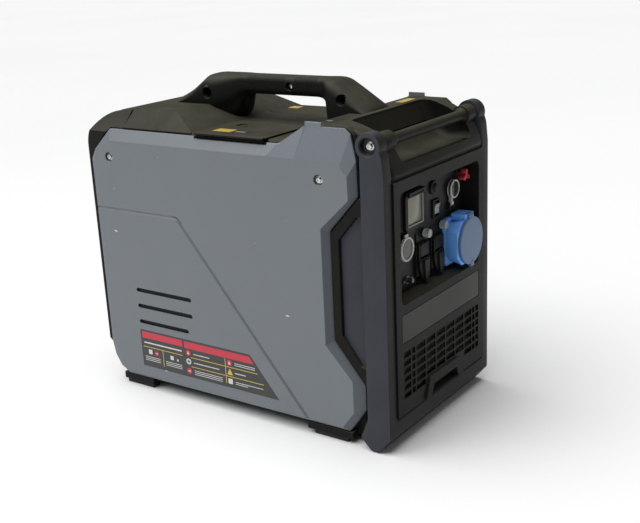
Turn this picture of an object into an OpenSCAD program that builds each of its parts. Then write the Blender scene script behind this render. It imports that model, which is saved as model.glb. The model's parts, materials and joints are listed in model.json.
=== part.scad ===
// Suitcase-style inverter generator. Millimetres, +Z up, front (controls) faces -Y.
// The origin is on the floor, under the middle of the whole set.

/* [Body] */
// Overall width across the two side panels
body_w = 350; // [348:1:352]
// Distance from the middle to the front panel's face
front_y = 317; // [316:1:318]
// Distance from the middle to the rear cover's face
rear_y = 324; // [322:1:326]
// Wall thickness of the moulded shells
wall = 3.5; // [3:0.5:4]
// Height of the flat deck under the carry handle
deck_z = 500; // [499:1:501]
// Height of the raised deck in front of and behind the handle opening
crown_z = 528; // [526:1:530]

/* [Carry handle] */
// Height of the top of the handle
handle_z = 580; // [576:1:584]
// Half of the handle's width
handle_half_w = 42; // [40:1:44]
// Radius of the grip bar
grip_r = 15; // [13:1:16]

/* [Control panel] */
// Half of the width of the control recess
recess_half_w = 134; // [133:1:135]
// Depth of the recess from the front panel's face
recess_depth = 45; // [44:1:46]
// Radius of the industrial socket's lid
cee_lid_r = 42; // [40:1:43]
// Travel of the start button
button_travel = 2.5; // [2:0.5:3]
// Travel of each breaker's reset button
breaker_travel = 3; // [2:0.5:4]

/* [Engine] */
// Height of the crankshaft
shaft_z = 185; // [183:1:187]
// Radius of the crankshaft
shaft_r = 12; // [11:0.5:12.5]
// Radius of the flywheel fan
fan_r = 92; // [88:1:94]
// Radius of the exhaust outlet's bore
exhaust_r = 15; // [14:0.5:16]

/* [Hidden] */
$fn = 48;

half_w = body_w / 2;
gap = 0.5;              // play left between neighbouring fixed pieces
pan_y = front_y - recess_depth;
frame_y = 314;          // front face of the bumper frame
frame_inner_x = 152.5;
panel_depth = 22;
side_in_x = half_w - panel_depth;
tray_top = 62;
seam_y = 236;           // seam between the top cover and the rear cover
deck_x = 159.5;         // half width of the top cover between the panels' rims
pocket_rear = 75;
grab_y = -290;
grab_z = 506;
boss_y = -287;
boss_z = 505;
cap_x = -100;
cap_y = -14;
lid_hinge_x = -165;
lid_hinge_z = 500;
lid_front = -86;
lid_rear = 62;
panel_bolt_y = [264, -195];
panel_bolt_z = 446.5;
handle_bolt_yz = [[-152, 548], [-34, 562], [136, 548]];
breaker_x = [-6, 52];
breaker_z = 330;
socket_x = [-17, 33.5];
socket_hinge_z = 314;
socket_hinge_y = pan_y + 4;
cee_x = 97;
cee_z = 294;
cee_hinge_y = front_y + 1;
cee_hinge_z = cee_z + cee_lid_r + 4;
dc_x = -73;
dc_z = 320;
dc_hinge_z = dc_z + 22.5;
dc_hinge_y = pan_y + 15;
guard_x = 92;
guard_z = 384;
guard_hinge_z = 357;
guard_hinge_y = pan_y + 15;
knob_x = 119;
knob_z = 403;
start_x = 28;
start_z = 400;
eco_x = 36;
eco_z = 362;
lcd_x = -42;
lcd_z = 379;
ground_x = -62;
ground_z = 264;
exhaust_x = -70;
exhaust_z = 310;

black = "#26261f";
slate = "#454a54";
panel_grey = "#7b838c";

// ---- shared shapes -------------------------------------------------------

// A block from its lowest corner to its highest.
module span(low, high) {
    translate(low)
        cube(high - low);
}

// Children drawn in Y and Z, thickened along X from x0.
module along_x(x0, t) {
    translate([x0, 0, 0])
        rotate([90, 0, 90])
            linear_extrude(t)
                children();
}

// Children drawn in X and Z, thickened along Y from y0.
module along_y(y0, t) {
    translate([0, y0 + t, 0])
        rotate([90, 0, 0])
            linear_extrude(t)
                children();
}

module rod_x(y, z, x0, x1, r) {
    translate([x0, y, z])
        rotate([0, 90, 0])
            cylinder(h = x1 - x0, r = r);
}

// A rod along Y; the ends are given front first.
module rod_y(x, z, y0, y1, r) {
    translate([x, y1, z])
        rotate([90, 0, 0])
            cylinder(h = y1 - y0, r = r);
}

module rod_z(x, y, z0, z1, r) {
    translate([x, y, z0])
        cylinder(h = z1 - z0, r = r);
}

// A rectangle with round corners about its centre.
module soft_rect(w, h, r) {
    square([w - 2 * r, h], center = true);
    square([w, h - 2 * r], center = true);
    for (x = [-1, 1], z = [-1, 1])
        translate([x * (w / 2 - r), z * (h / 2 - r)])
            circle(r);
}

// A stadium slot along the first axis.
module slot(length, h) {
    square([length - h, h], center = true);
    for (x = [-1, 1])
        translate([x * (length - h) / 2, 0])
            circle(h / 2);
}

// A wedge that bevels the outer face of a side panel along the outline's edge from a to b:
// w inwards over the face, d deep at the edge, and past the two ends by e[0] and e[1].
module edge_bevel(a, b, w, d, e) {
    run = b - a;
    length = norm(run);
    translate([-half_w, a[0], a[1]])
        rotate([atan2(run[1], run[0]), 0, 0])
            along_y(-e[0], length + e[0] + e[1])
                polygon([[-1, -2], [d * (w + 2) / w, -2], [-d / w, w + 1]]);
}

// ---- side panels ---------------------------------------------------------

panel_outline = [
    [311, 80], [311, 440], [303, 458], [266, 496], [-112, 496], [-165, 528], [-240, 528],
    [-250, 520], [-261, 480], [-261, 424], [-207, 363], [-207, 178], [-263, 111],
    [-263, 66], [-232, 23], [272, 23], [293, 34], [306, 55]
];
panel_cavity = [
    [300, 84], [300, 436], [262, 468], [-214, 468], [-236, 456], [-238, 426], [-196, 372],
    [-196, 172], [-240, 104], [-240, 66], [-220, 36], [268, 36], [290, 50]
];
lower_field = [[330, 350], [115, 350], [102, 340], [-154, 27], [-154, 10], [330, 10]];
// Each bevel: the edge's two ends, its width, its depth, and how far it runs past each end.
// Neighbours differ a little in depth, so that no four faces meet in one point.
bevelled_edges = [
    [0, 1, 5, 4, [3, 3]], [2, 3, 8, 4.4, [3, 3]], [3, 4, 20, 9, [5, -0.6]],
    [4, 5, 30, 8.4, [-0.6, 4]], [5, 6, 52, 9.3, [4, 12]], [7, 8, 13, 6.5, [6, 3]],
    [8, 9, 12, 6, [3, 2]], [9, 10, 10, 5.5, [2, -0.6]], [10, 11, 4, 4, [-0.6, -0.6]],
    [11, 12, 10, 5.2, [-0.6, 2]], [12, 13, 18, 6, [2, 2]], [13, 14, 12, 6.6, [2, 6]]
];

// The left panel; the right one is its mirror image.
module side_panel() {
    color(panel_grey)
        difference() {
            along_x(-half_w, panel_depth)
                polygon(panel_outline);
            difference() {
                along_x(-half_w + wall, panel_depth)
                    polygon(panel_cavity);
                for (y = panel_bolt_y)
                    rod_x(y, panel_bolt_z, -half_w, -side_in_x, 13);
            }
            span([-160, -264, 463], [-150, seam_y + gap, 540]);
            span([-180, lid_front - 3, 492], [-150, lid_rear + 3, 500]);
            along_x(-half_w - 1, 2.2)
                polygon(lower_field);
            for (b = bevelled_edges)
                edge_bevel(panel_outline[b[0]], panel_outline[b[1]], b[2], b[3], b[4]);
            for (s = [[161, 200, 134], [161, 169, 134], [167, 138, 122]])
                along_x(-half_w - 1, wall + 3)
                    translate([s[0], s[1]])
                        slot(s[2], 8);
            for (y = panel_bolt_y) {
                rod_x(y, panel_bolt_z, -half_w - 1, -half_w + 5, 8.5);
                rod_x(y, panel_bolt_z, -half_w - 1, -half_w + panel_depth + 1, 3.5);
            }
        }
}

module left_panel() {
    side_panel();
}

module right_panel() {
    mirror([1, 0, 0])
        side_panel();
}

// The dark hand-hold that fills the notch between the side panel and the bumper frame.
module side_insert() {
    color(black)
        difference() {
            along_x(-168, 18)
                polygon([[-270, 424], [-262, 421], [-209, 361], [-209, 180], [-264, 113], [-270, 110]]);
            along_x(-169, 8)
                polygon([[-275, 396], [-258, 392], [-224, 352], [-224, 190], [-258, 144], [-275, 140]]);
        }
}

module left_insert() {
    side_insert();
}

module right_insert() {
    mirror([1, 0, 0])
        side_insert();
}

// Four panel screws: a flanged head and a shank each.
module panel_bolts() {
    color("silver")
        for (s = [-1, 1], y = panel_bolt_y) {
            rod_x(y, panel_bolt_z, s * 161.5 - 9.5, s * 161.5 + 9.5, 3);
            rod_x(y, panel_bolt_z, s * 172 - 2, s * 172 + 2, 6.5);
        }
}

// ---- base, feet and bumper frame -----------------------------------------

module base_tray() {
    color(black)
        difference() {
            union() {
                span([-152, -255, 12], [152, 299, tray_top + 8]);
                for (s = [-1, 1], y = [[-238, -146], [214, 290]])
                    span([s * 159 - 10, y[0], 8], [s * 159 + 10, y[1], 21.5]);
            }
            span([-146, -249, tray_top], [146, 293, tray_top + 20]);
            for (x = [-100 : 40 : 100])
                span([x - 6, -180, 0], [x + 6, 150, tray_top + 1]);
        }
}

module rubber_feet() {
    color("#1c1c1c")
        for (s = [-1, 1], y = [-192, 252])
            span([s * 157 - 9, y - 34, 0], [s * 157 + 9, y + 34, 8]);
}

bumper_foot = [[-frame_y, 28], [-292, 2], [-277, 2], [-258, 22]];

module front_frame() {
    color(slate)
        difference() {
            union() {
                for (s = [-1, 1])
                    along_x(s * (half_w + frame_inner_x) / 2 - (half_w - frame_inner_x) / 2,
                            half_w - frame_inner_x) {
                        polygon(concat(bumper_foot, [
                            [-272, 56], [-272, 500], [boss_y, boss_z], [-304, 508],
                            [-311, 488], [-frame_y, 455]
                        ]));
                        translate([boss_y, boss_z])
                            circle(21.5);
                    }
                along_x(-frame_inner_x - 1, 2 * frame_inner_x + 2)
                    polygon(concat(bumper_foot, [[-272, 46], [-280, 55], [-frame_y, 55]]));
            }
            for (s = [-1, 1]) {
                rod_x(boss_y, boss_z, s * half_w - 10, s * half_w + 10, 14);
                rod_x(boss_y, boss_z, s * 160 - 20, s * 160 + 20, 4.5);
            }
        }
}

module frame_bolts() {
    color("silver")
        for (s = [-1, 1]) {
            rod_x(boss_y, boss_z, s * 159 - 7, s * 159 + 7, 4);
            rod_x(boss_y, boss_z, s * 167.5 - 2.5, s * 167.5 + 2.5, 7);
        }
}

// ---- front panel ---------------------------------------------------------

// Openings of the air grille: columns given by their middles and widths.
grille_columns = [
    [-121, 22], [-101, 10], [-77, 30], [-43, 30], [-9, 30], [25, 30], [59, 30], [91, 26],
    [112, 10], [126, 10]
];
grille_rows = [90 : 14 : 160];

module front_panel() {
    color(black)
        difference() {
            union() {
                difference() {
                    span([-151.5, -front_y, 58], [151.5, -front_y + 20, 447]);
                    span([-148, -front_y + wall, 55], [148, 0, 450]);
                }
                along_y(-front_y - 4, 12)
                    polygon([[-66, 58], [-52, 94], [52, 94], [66, 58]]);
            }
            along_y(-front_y - 1, 30)
                translate([0, 336.5])
                    soft_rect(2 * recess_half_w, 183, 12);
            along_y(-front_y - 1, 2.5)
                translate([0, 205.5])
                    soft_rect(269, 49, 4);
            for (c = grille_columns, z = grille_rows)
                if (z > 100 || abs(c[0]) > 75)
                    span([c[0] - c[1] / 2, -front_y - 1, z - 5.5], [c[0] + c[1] / 2, 0, z + 5.5]);
            along_y(-front_y - 5, 20)
                polygon([[-52, 50], [-40, 78], [40, 78], [52, 50]]);
        }
}

module label_plate() {
    color("#3a3a36")
        along_y(-front_y + 0.3, 1.1)
            translate([0, 205.5])
                soft_rect(267, 47, 3.5);
}

module control_pan() {
    color("#1f1f1c")
        difference() {
            union() {
                span([-147, -pan_y, 232], [147, -pan_y + 3, 446]);
                difference() {
                    along_y(-front_y + wall + gap, recess_depth - wall - gap + 1)
                        translate([0, 336.5])
                            soft_rect(2 * recess_half_w + 4, 187, 14);
                    along_y(-front_y, recess_depth)
                        translate([0, 336.5])
                            soft_rect(2 * recess_half_w, 183, 12);
                }
            }
            along_y(-pan_y - 1, 6) {
                translate([lcd_x, lcd_z])
                    square([44.6, 54.6], center = true);
                translate([eco_x, eco_z])
                    square([14.6, 20.6], center = true);
                translate([start_x, start_z])
                    circle(9.3);
                translate([guard_x, guard_z])
                    circle(8.3);
                translate([knob_x, knob_z])
                    circle(6.3);
                for (x = breaker_x)
                    translate([x, breaker_z])
                        circle(5.3);
                for (x = socket_x)
                    translate([x, 286])
                        circle(17.3);
                translate([cee_x - 3, cee_z])
                    circle(28.3);
                translate([dc_x, dc_z])
                    circle(14.3);
                translate([ground_x, ground_z])
                    circle(4.3);
            }
        }
}

// ---- covers --------------------------------------------------------------

deck_section = [
    [-deck_x, 470], [-deck_x, 496], [-deck_x + 4, deck_z], [deck_x - 4, deck_z],
    [deck_x, 496], [deck_x, 470]
];
crown_section = [
    [-deck_x, 470], [-deck_x, 499], [-deck_x + 32, crown_z], [deck_x - 32, crown_z],
    [deck_x, 499], [deck_x, 470]
];

// The scoop behind and below the front grab bar.
scoop_side = [[-340, 470], [-312, 470], [-268, 462], [-238, 480], [-212, 540], [-340, 560]];

module top_cover() {
    color(black)
        difference() {
            union() {
                along_y(-262, seam_y - gap + 262)
                    polygon(deck_section);
                intersection() {
                    along_y(pocket_rear, seam_y - gap - pocket_rear)
                        polygon(crown_section);
                    along_x(-170, 340)
                        polygon([[75, 460], [75, deck_z], [138, crown_z + 2], [240, crown_z + 2], [240, 460]]);
                }
                along_x(-deck_x, 2 * deck_x)
                    polygon([[-120, 490], [-170, crown_z], [-242, crown_z], [-254, 518], [-262, 490]]);
                along_x(-151.5, 303)
                    polygon([
                        [-200, 490], [-200, crown_z + 4], [-236, crown_z + 2], [-264, 520],
                        [-288, 508], [-304, 490], [-313, 470], [-front_y, 449], [-240, 449]
                    ]);
            }
            difference() {
                span([-deck_x + wall, -258, 440], [deck_x - wall, 240, deck_z - wall]);
                span([-155, -275, 440], [155, -200, 520]);
                rod_z(cap_x, cap_y, 464, deck_z, 40);
            }
            span([-122, -195, 440], [122, -140, crown_z - wall]);
            intersection() {
                along_y(100, 150)
                    polygon([for (p = crown_section) [p[0] * 0.97, p[1] - wall]]);
                along_x(-170, 340)
                    polygon([[120, 440], [120, 480], [142, crown_z - wall], [250, crown_z], [250, 440]]);
            }
            along_x(-118, 236)
                polygon(scoop_side);
            span([-148, -front_y + wall, 440], [148, -330 + 60, 458]);
            rod_z(cap_x, cap_y, 468, deck_z + 5, 36.5);
            rod_z(cap_x, cap_y, 460, 470, 24);
            span([-170, lid_front - 2, deck_z - 3.5], [-39, lid_rear + 2, deck_z + 10]);
        }
}

module rear_cover() {
    color(black)
        difference() {
            intersection() {
                along_x(-166, 332) {
                    polygon([
                        [seam_y, 450], [300, 64], [rear_y, 84], [rear_y, 462], [262, crown_z - 2],
                        [seam_y, crown_z - 2]
                    ]);
                    translate([262, 462])
                        intersection() {
                            circle(rear_y - 262);
                            square(80);
                        }
                }
                along_y(200, 150)
                    polygon([
                        [-166, 0], [-166, 490], [-132, crown_z - 1], [132, crown_z - 1],
                        [166, 490], [166, 0]
                    ]);
            }
            for (s = [-1, 1])
                along_x(s * 166 - 14.5, 29) {
                    polygon(panel_outline);
                    translate([1.5, 1.5])
                        polygon(panel_outline);
                }
            intersection() {
                along_x(-147, 294)
                    polygon([
                        [200, 440], [300, 40], [rear_y - wall, 70], [rear_y - wall, 465],
                        [262, crown_z - 2 - wall], [200, crown_z - 2 - wall]
                    ]);
                along_y(190, 150)
                    polygon([
                        [-147, 0], [-147, 500], [-128, crown_z - wall - 2],
                        [128, crown_z - wall - 2], [147, 500], [147, 0]
                    ]);
            }
            for (z = [110 : 16 : 254])
                along_y(300, 40)
                    translate([0, z])
                        slot(230, 7);
            rod_y(exhaust_x, exhaust_z, 300, 340, 22);
            for (z = [290, 306, 322, 338])
                along_y(300, 40)
                    translate([50, z])
                        slot(130, 7);
        }
}

// ---- handles -------------------------------------------------------------

handle_profile = [
    [236, crown_z + 0.2], [226, 533], [178, 551], [150, 574], [140, handle_z], [-104, handle_z],
    [-116, 578], [-136, 568], [-196, crown_z + 4.4], [-200, crown_z + 4.2], [-170, crown_z + 0.2],
    [-122, 501], [-112, 535], [-100, 549], [62, 549], [74, 536], [76, 502], [138, 530.4]
];

// One moulded half of the carry handle, on the side given by s.
module handle_half(s) {
    color(black)
        difference() {
            union() {
                along_x(s < 0 ? -handle_half_w : 0.15, handle_half_w - 0.15)
                    difference() {
                        polygon(handle_profile);
                        translate([-19, 545])
                            square([176, 22], center = true);
                    }
                intersection() {
                    rod_y(0, handle_z - grip_r - 3, -108, 70, grip_r);
                    span(s < 0 ? [-60, -110, 500] : [0.15, -110, 500],
                         s < 0 ? [-0.15, 80, 600] : [60, 80, 600]);
                }
            }
            for (b = handle_bolt_yz)
                rod_x(b[0], b[1], s * 30 - 30.5, s * 30 + 30.5, 4);
            for (b = [handle_bolt_yz[0], handle_bolt_yz[2]])
                rod_x(b[0], b[1], s * 40 - 18, s * 40 + 18, 10);
            rod_x(handle_bolt_yz[1][0], handle_bolt_yz[1][1], s * 14 - 4, s * 14 + 4, 7);
        }
}

module handle_left() {
    handle_half(-1);
}

module handle_right() {
    handle_half(1);
}

module handle_bolts() {
    color("silver") {
        for (b = [handle_bolt_yz[0], handle_bolt_yz[2]]) {
            rod_x(b[0], b[1], -23, 21.5, 3.5);
            rod_x(b[0], b[1], -27.5, -22, 7);
        }
        rod_x(handle_bolt_yz[1][0], handle_bolt_yz[1][1], -11, 9.5, 3.5);
        rod_x(handle_bolt_yz[1][0], handle_bolt_yz[1][1], -13.5, -10, 6);
    }
}

module grab_bar() {
    color(black)
        rod_x(grab_y, grab_z, -117.8, 117.8, 9);
}

// ---- fuel lid and cap ----------------------------------------------------

module fuel_lid() {
    color(black)
        difference() {
            union() {
                span([lid_hinge_x - 4, lid_front, deck_z - 2.5], [-41, lid_rear, deck_z + 1]);
                rod_y(lid_hinge_x, lid_hinge_z, lid_front, lid_rear, 2.6);
            }
            rod_z(-61, 40, deck_z - 1, deck_z + 5, 9);
        }
}

module fuel_cap() {
    color("#303030")
        difference() {
            union() {
                rod_z(cap_x, cap_y, 478.5, 492, 28);
                for (a = [0 : 30 : 330])
                    translate([cap_x, cap_y, 0])
                        rotate(a)
                            rod_z(28, 0, 478.5, 490, 3);
                span([cap_x - 24, cap_y - 4, 488], [cap_x + 24, cap_y + 4, 496]);
            }
            rod_z(cap_x, cap_y, 470, 486, 23);
        }
}

// ---- controls ------------------------------------------------------------

module lcd_housing() {
    color("#1a1a18")
        difference() {
            union() {
                span([lcd_x - 28, -pan_y - 8, lcd_z - 33], [lcd_x + 28, -pan_y, lcd_z + 33]);
                span([lcd_x - 22, -pan_y, lcd_z - 27], [lcd_x + 22, -pan_y + 16, lcd_z + 27]);
                along_x(lcd_x - 28, 56)
                    polygon([
                        [-pan_y, lcd_z + 33], [-pan_y - 14, lcd_z + 33], [-pan_y - 8, lcd_z + 24],
                        [-pan_y, lcd_z + 24]
                    ]);
            }
            span([lcd_x - 19, -pan_y - 20, lcd_z - 26], [lcd_x + 19, -pan_y - 5, lcd_z + 23]);
        }
}

module lcd_glass() {
    color("#9c9a88")
        span([lcd_x - 18.7, -pan_y - 7, lcd_z - 25.7], [lcd_x + 18.7, -pan_y - 5, lcd_z + 22.7]);
}

module start_button_ring() {
    color("#1a1a18")
        difference() {
            union() {
                rod_y(start_x, start_z, -pan_y - 5, -pan_y, 12);
                rod_y(start_x, start_z, -pan_y, -pan_y + 16, 9);
            }
            rod_y(start_x, start_z, -pan_y - 9, -pan_y + 20, 7.8);
        }
}

module start_button() {
    color("#2b2b29")
        rod_y(start_x, start_z, -pan_y - 9, -pan_y + 10, 7.4);
}

module eco_switch_frame() {
    color("#1a1a18")
        difference() {
            union() {
                span([eco_x - 11, -pan_y - 4, eco_z - 14], [eco_x + 11, -pan_y, eco_z + 14]);
                span([eco_x - 7, -pan_y, eco_z - 10], [eco_x + 7, -pan_y + 18, eco_z + 10]);
            }
            span([eco_x - 8, -pan_y - 9, eco_z - 11], [eco_x + 8, -pan_y - 1, eco_z + 11]);
            span([eco_x - 5.5, -pan_y - 2, eco_z - 8.5], [eco_x + 5.5, -pan_y + 16, eco_z + 8.5]);
        }
}

// The rocker stands tipped to one side at rest, about a pivot in the pan's face.
module eco_rocker() {
    color("#8d8d8a")
        translate([eco_x, -pan_y - 1, eco_z])
            rotate([8, 0, 0]) {
                span([-7.4, -6, -9.6], [7.4, -2, 9.6]);
                span([-4.8, -3, -4], [4.8, 4, 4]);
            }
}

module engine_switch() {
    color("#1a1a18") {
        rod_y(guard_x, guard_z, -pan_y - 7, -pan_y, 9);
        rod_y(guard_x, guard_z, -pan_y, -pan_y + 18, 8);
        for (s = [-1, 1])
            span([guard_x - 8 + s * 6.5 - 1.5, -guard_hinge_y - 4, 350],
                 [guard_x - 8 + s * 6.5 + 1.5, -pan_y, 361]);
        span([guard_x - 16, -pan_y - 3, 350], [guard_x, -pan_y, 361]);
        span([guard_x - 11, -pan_y - 2, 358], [guard_x - 3, -pan_y, 380]);
    }
}

// Clear flip guard: a shallow cup on an arm, hinged below.
module switch_guard() {
    color("#d8dcd8")
        union() {
            difference() {
                rod_y(guard_x, guard_z, -pan_y - 20, -pan_y - 3, 13.5);
                rod_y(guard_x, guard_z, -pan_y - 18.4, -pan_y, 12);
            }
            span([guard_x - 12, -pan_y - 19, guard_hinge_z], [guard_x - 4, -pan_y - 16.5, guard_z - 8]);
            rod_x(-guard_hinge_y, guard_hinge_z, guard_x - 12.4, guard_x - 3.6, 3);
        }
}

module fuel_knob_bezel() {
    color("#1a1a18")
        difference() {
            union() {
                rod_y(knob_x, knob_z, -pan_y - 4, -pan_y, 12);
                rod_y(knob_x, knob_z, -pan_y, -pan_y + 16, 6);
            }
            rod_y(knob_x, knob_z, -pan_y - 5, -pan_y + 12, 4.05);
        }
}

// Red wing knob: three lobes about a hub on its own spindle.
module fuel_knob() {
    color("#b03a46")
        union() {
            rod_y(knob_x, knob_z, -pan_y - 5, -pan_y + 10, 4);
            rod_y(knob_x, knob_z, -pan_y - 17, -pan_y - 4.5, 6);
            for (a = [90, 210, 330])
                translate([knob_x, 0, knob_z])
                    rotate([0, a, 0]) {
                        span([0, -pan_y - 16, -3], [8, -pan_y - 6, 3]);
                        rod_y(8, 0, -pan_y - 16, -pan_y - 6, 3);
                    }
        }
}

module breaker_bodies() {
    color("#1a1a18")
        for (x = breaker_x)
            difference() {
                union() {
                    rod_y(x, breaker_z, -pan_y - 4, -pan_y, 8);
                    rod_y(x, breaker_z, -pan_y, -pan_y + 20, 5);
                }
                rod_y(x, breaker_z, -pan_y - 9, -pan_y + 12, 3.3);
            }
}

// A reset button under its ribbed boot.
module breaker_button(x) {
    color("#c8ccc8")
        union() {
            rod_y(x, breaker_z, -pan_y - 8, -pan_y + 8, 3);
            rod_y(x, breaker_z, -pan_y - 18, -pan_y - 4 - breaker_travel - 0.3, 6.8);
            for (a = [0 : 45 : 315])
                translate([x, 0, breaker_z])
                    rotate([0, a, 0])
                        rod_y(6.6, 0, -pan_y - 16.5, -pan_y - 4.6 - breaker_travel, 0.9);
        }
}

module breaker_button_left() {
    breaker_button(breaker_x[0]);
}

module breaker_button_right() {
    breaker_button(breaker_x[1]);
}

module indicator_lamps() {
    color("white")
        for (p = [[18, 343], [72, 342]])
            rod_y(p[0], p[1], -pan_y - 3, -pan_y, 2.5);
}

// A mains socket: a round recessed well on a square flange, with two hinge ears.
module socket_body(x) {
    color("#1a1a18")
        difference() {
            union() {
                span([x - 21, -pan_y - 6, 262], [x + 21, -pan_y, 309]);
                rod_y(x, 286, -pan_y, -pan_y + 20, 17);
                for (s = [-1, 1])
                    span([x + s * 19 - 2, -socket_hinge_y - 3, 309],
                         [x + s * 19 + 2, -pan_y, socket_hinge_z + 3]);
            }
            rod_y(x, 286, -pan_y - 10, -pan_y + 12, 14);
            for (s = [-1, 1])
                rod_y(x + s * 9.5, 286, -pan_y + 10, -pan_y + 18, 2.4);
        }
}

module socket_left() {
    socket_body(socket_x[0]);
}

module socket_right() {
    socket_body(socket_x[1]);
}

// The spring lid over a socket: thin at its hinge, thick and pointed below, ribbed down the front.
module socket_lid(x) {
    color("#232321")
        union() {
            rod_x(-socket_hinge_y, socket_hinge_z, x - 16.6, x + 16.6, 2.6);
            span([x - 16, -socket_hinge_y - 6.6, 296], [x + 16, -socket_hinge_y - 2.6, 313]);
            span([x - 16, -socket_hinge_y - 6.6, 310], [x + 16, -socket_hinge_y, 313]);
            along_y(-socket_hinge_y - 15, 12.2)
                translate([x, 0])
                    polygon([
                        [-19, 296], [-20, 268], [-9, 250], [9, 250], [20, 268], [19, 296]
                    ]);
            for (i = [-1, 1])
                along_y(-socket_hinge_y - 17, 4)
                    translate([x + i * 7, 0])
                        polygon([[-2, 295], [-1.4, 252], [1.4, 252], [2, 295]]);
        }
}

module socket_left_lid() {
    socket_lid(socket_x[0]);
}

module socket_right_lid() {
    socket_lid(socket_x[1]);
}

// The blue industrial socket: a square foot, an angled neck and a round mouth.
module cee_socket() {
    color("#3f86d6")
        difference() {
            union() {
                span([cee_x - 37, -pan_y - 8, cee_z - 42], [cee_x + 33, -pan_y, cee_z + 42]);
                rod_y(cee_x - 3, cee_z, -pan_y, -pan_y + 20, 28);
                rod_y(cee_x - 3, cee_z, -front_y + 1, -pan_y - 4, 36);
                for (s = [-1, 1]) {
                    span([cee_x + s * 12 - 3, -front_y + 0.5, cee_hinge_z - 10],
                         [cee_x + s * 12 + 3, -pan_y - 4, cee_hinge_z + 3]);
                    span([cee_x + s * 12 - 3, -cee_hinge_y - 3, cee_hinge_z - 3],
                         [cee_x + s * 12 + 3, -front_y + 1, cee_hinge_z + 3]);
                }
            }
            rod_y(cee_x - 3, cee_z, -front_y - 9, -pan_y + 14, 26);
        }
}

module cee_lid() {
    color("#5e7fa6")
        union() {
            rod_y(cee_x, cee_z, -front_y - 7, -front_y, cee_lid_r);
            rod_x(-cee_hinge_y, cee_hinge_z, cee_x - 8.5, cee_x + 8.5, 3);
            span([cee_x - 8.5, -front_y - 4, cee_hinge_z - 12], [cee_x + 8.5, -front_y, cee_hinge_z]);
        }
}

module dc_socket() {
    color("#1a1a18")
        difference() {
            union() {
                rod_y(dc_x, dc_z, -pan_y - 12, -pan_y, 20);
                rod_y(dc_x, dc_z, -pan_y, -pan_y + 18, 14);
                for (s = [-1, 1]) {
                    span([dc_x + s * 7 - 1.5, -dc_hinge_y + 0.5, dc_z + 14],
                         [dc_x + s * 7 + 1.5, -pan_y, dc_hinge_z + 2.5]);
                    span([dc_x + s * 7 - 1.5, -dc_hinge_y - 2, dc_hinge_z - 1],
                         [dc_x + s * 7 + 1.5, -dc_hinge_y + 1, dc_hinge_z + 2.5]);
                }
            }
            rod_y(dc_x, dc_z, -pan_y - 20, -pan_y + 10, 11);
        }
}

module dc_cap() {
    color("#d8dcd8")
        union() {
            rod_y(dc_x, dc_z, -pan_y - 18.5, -pan_y - 15, 20.5);
            rod_x(-dc_hinge_y, dc_hinge_z, dc_x - 5.1, dc_x + 5.1, 2.5);
            span([dc_x - 5, -dc_hinge_y - 3.4, dc_z + 16], [dc_x + 5, -dc_hinge_y, dc_hinge_z]);
        }
}

// Earth terminal: a threaded stud with a washer and a wing nut on a moulded block.
module ground_terminal() {
    color("silver") {
        rod_y(ground_x, ground_z, -pan_y - 24, -pan_y + 8, 4);
        rod_y(ground_x, ground_z, -pan_y - 3, -pan_y, 10);
        rod_y(ground_x, ground_z, -pan_y - 14, -pan_y - 3, 7);
        for (s = [-1, 1])
            span([ground_x + s * 10 - 5, -pan_y - 15, ground_z - 2],
                 [ground_x + s * 10 + 5, -pan_y - 6, ground_z + 2]);
    }
}

module exhaust_outlet() {
    color("silver")
        difference() {
            union() {
                rod_y(exhaust_x, exhaust_z, 272, rear_y, exhaust_r + 3);
                rod_y(exhaust_x, exhaust_z, 272, 276, 26);
            }
            rod_y(exhaust_x, exhaust_z, 271, rear_y + 1, exhaust_r);
        }
}

// ---- engine, alternator and electrics ------------------------------------

module engine_crankcase() {
    color("#a5a7a8")
        difference() {
            union() {
                along_y(-62, 132)
                    translate([0, shaft_z])
                        soft_rect(170, 160, 30);
                for (s = [-1, 1], y = [-44, 52])
                    span([s * 66 - 20, y - 16, shaft_z - 90], [s * 66 + 20, y + 16, shaft_z - 70]);
            }
            along_y(-54, 116)
                translate([0, shaft_z])
                    soft_rect(150, 140, 24);
            rod_y(0, shaft_z, -70, 80, shaft_r + 0.05);
        }
}

module engine_cylinder() {
    color("#9a9c9e")
        difference() {
            union() {
                rod_z(0, 4, shaft_z + 80.3, 384, 40);
                for (z = [274 : 8 : 362])
                    span([-55, -48, z], [55, 56, z + 3]);
                span([-48, -44, 368], [48, 52, 384]);
                span([-38, -36, 384], [38, 44, 396]);
            }
            rod_z(0, 4, 200, 366, 33);
            rod_x(0, 354, 44, 60, 7.2);
            rod_y(30, 330, 40, 60, 14);
        }
}

module crankshaft() {
    color("#b8babd")
        union() {
            rod_y(0, shaft_z, -160, 78, shaft_r);
            for (y = [-34, 18])
                translate([0, y, 0])
                    along_y(0, 14)
                        translate([0, shaft_z])
                            circle(46);
            rod_y(0, shaft_z + 28, -30, 28, 13);
        }
}

module flywheel_fan() {
    color("#8f9295")
        difference() {
            union() {
                rod_y(0, shaft_z, -150, -144, fan_r);
                rod_y(0, shaft_z, -150, -128, 26);
                for (a = [0 : 24 : 336])
                    translate([0, 0, shaft_z])
                        rotate([0, a, 0])
                            span([30, -144.5, -1.5], [fan_r - 4, -126, 1.5]);
            }
            rod_y(0, shaft_z, -151, -120, shaft_r + 0.02);
        }
}

module fan_shroud() {
    color("#2a2a28")
        difference() {
            union() {
                rod_y(0, shaft_z, -158, -66, fan_r + 13);
                span([-90, -158, tray_top + 0.3], [90, -66, 110]);
            }
            rod_y(0, shaft_z, -160, -60, fan_r + 8);
        }
}

module alternator_stator() {
    color("#9c6b3c")
        difference() {
            rod_y(0, shaft_z, -118, -70, 94);
            rod_y(0, shaft_z, -120, -60, 63);
            for (a = [0 : 20 : 340])
                translate([0, 0, shaft_z])
                    rotate([0, a, 0])
                        span([60, -125, -3], [82, -60, 3]);
        }
}

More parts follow.
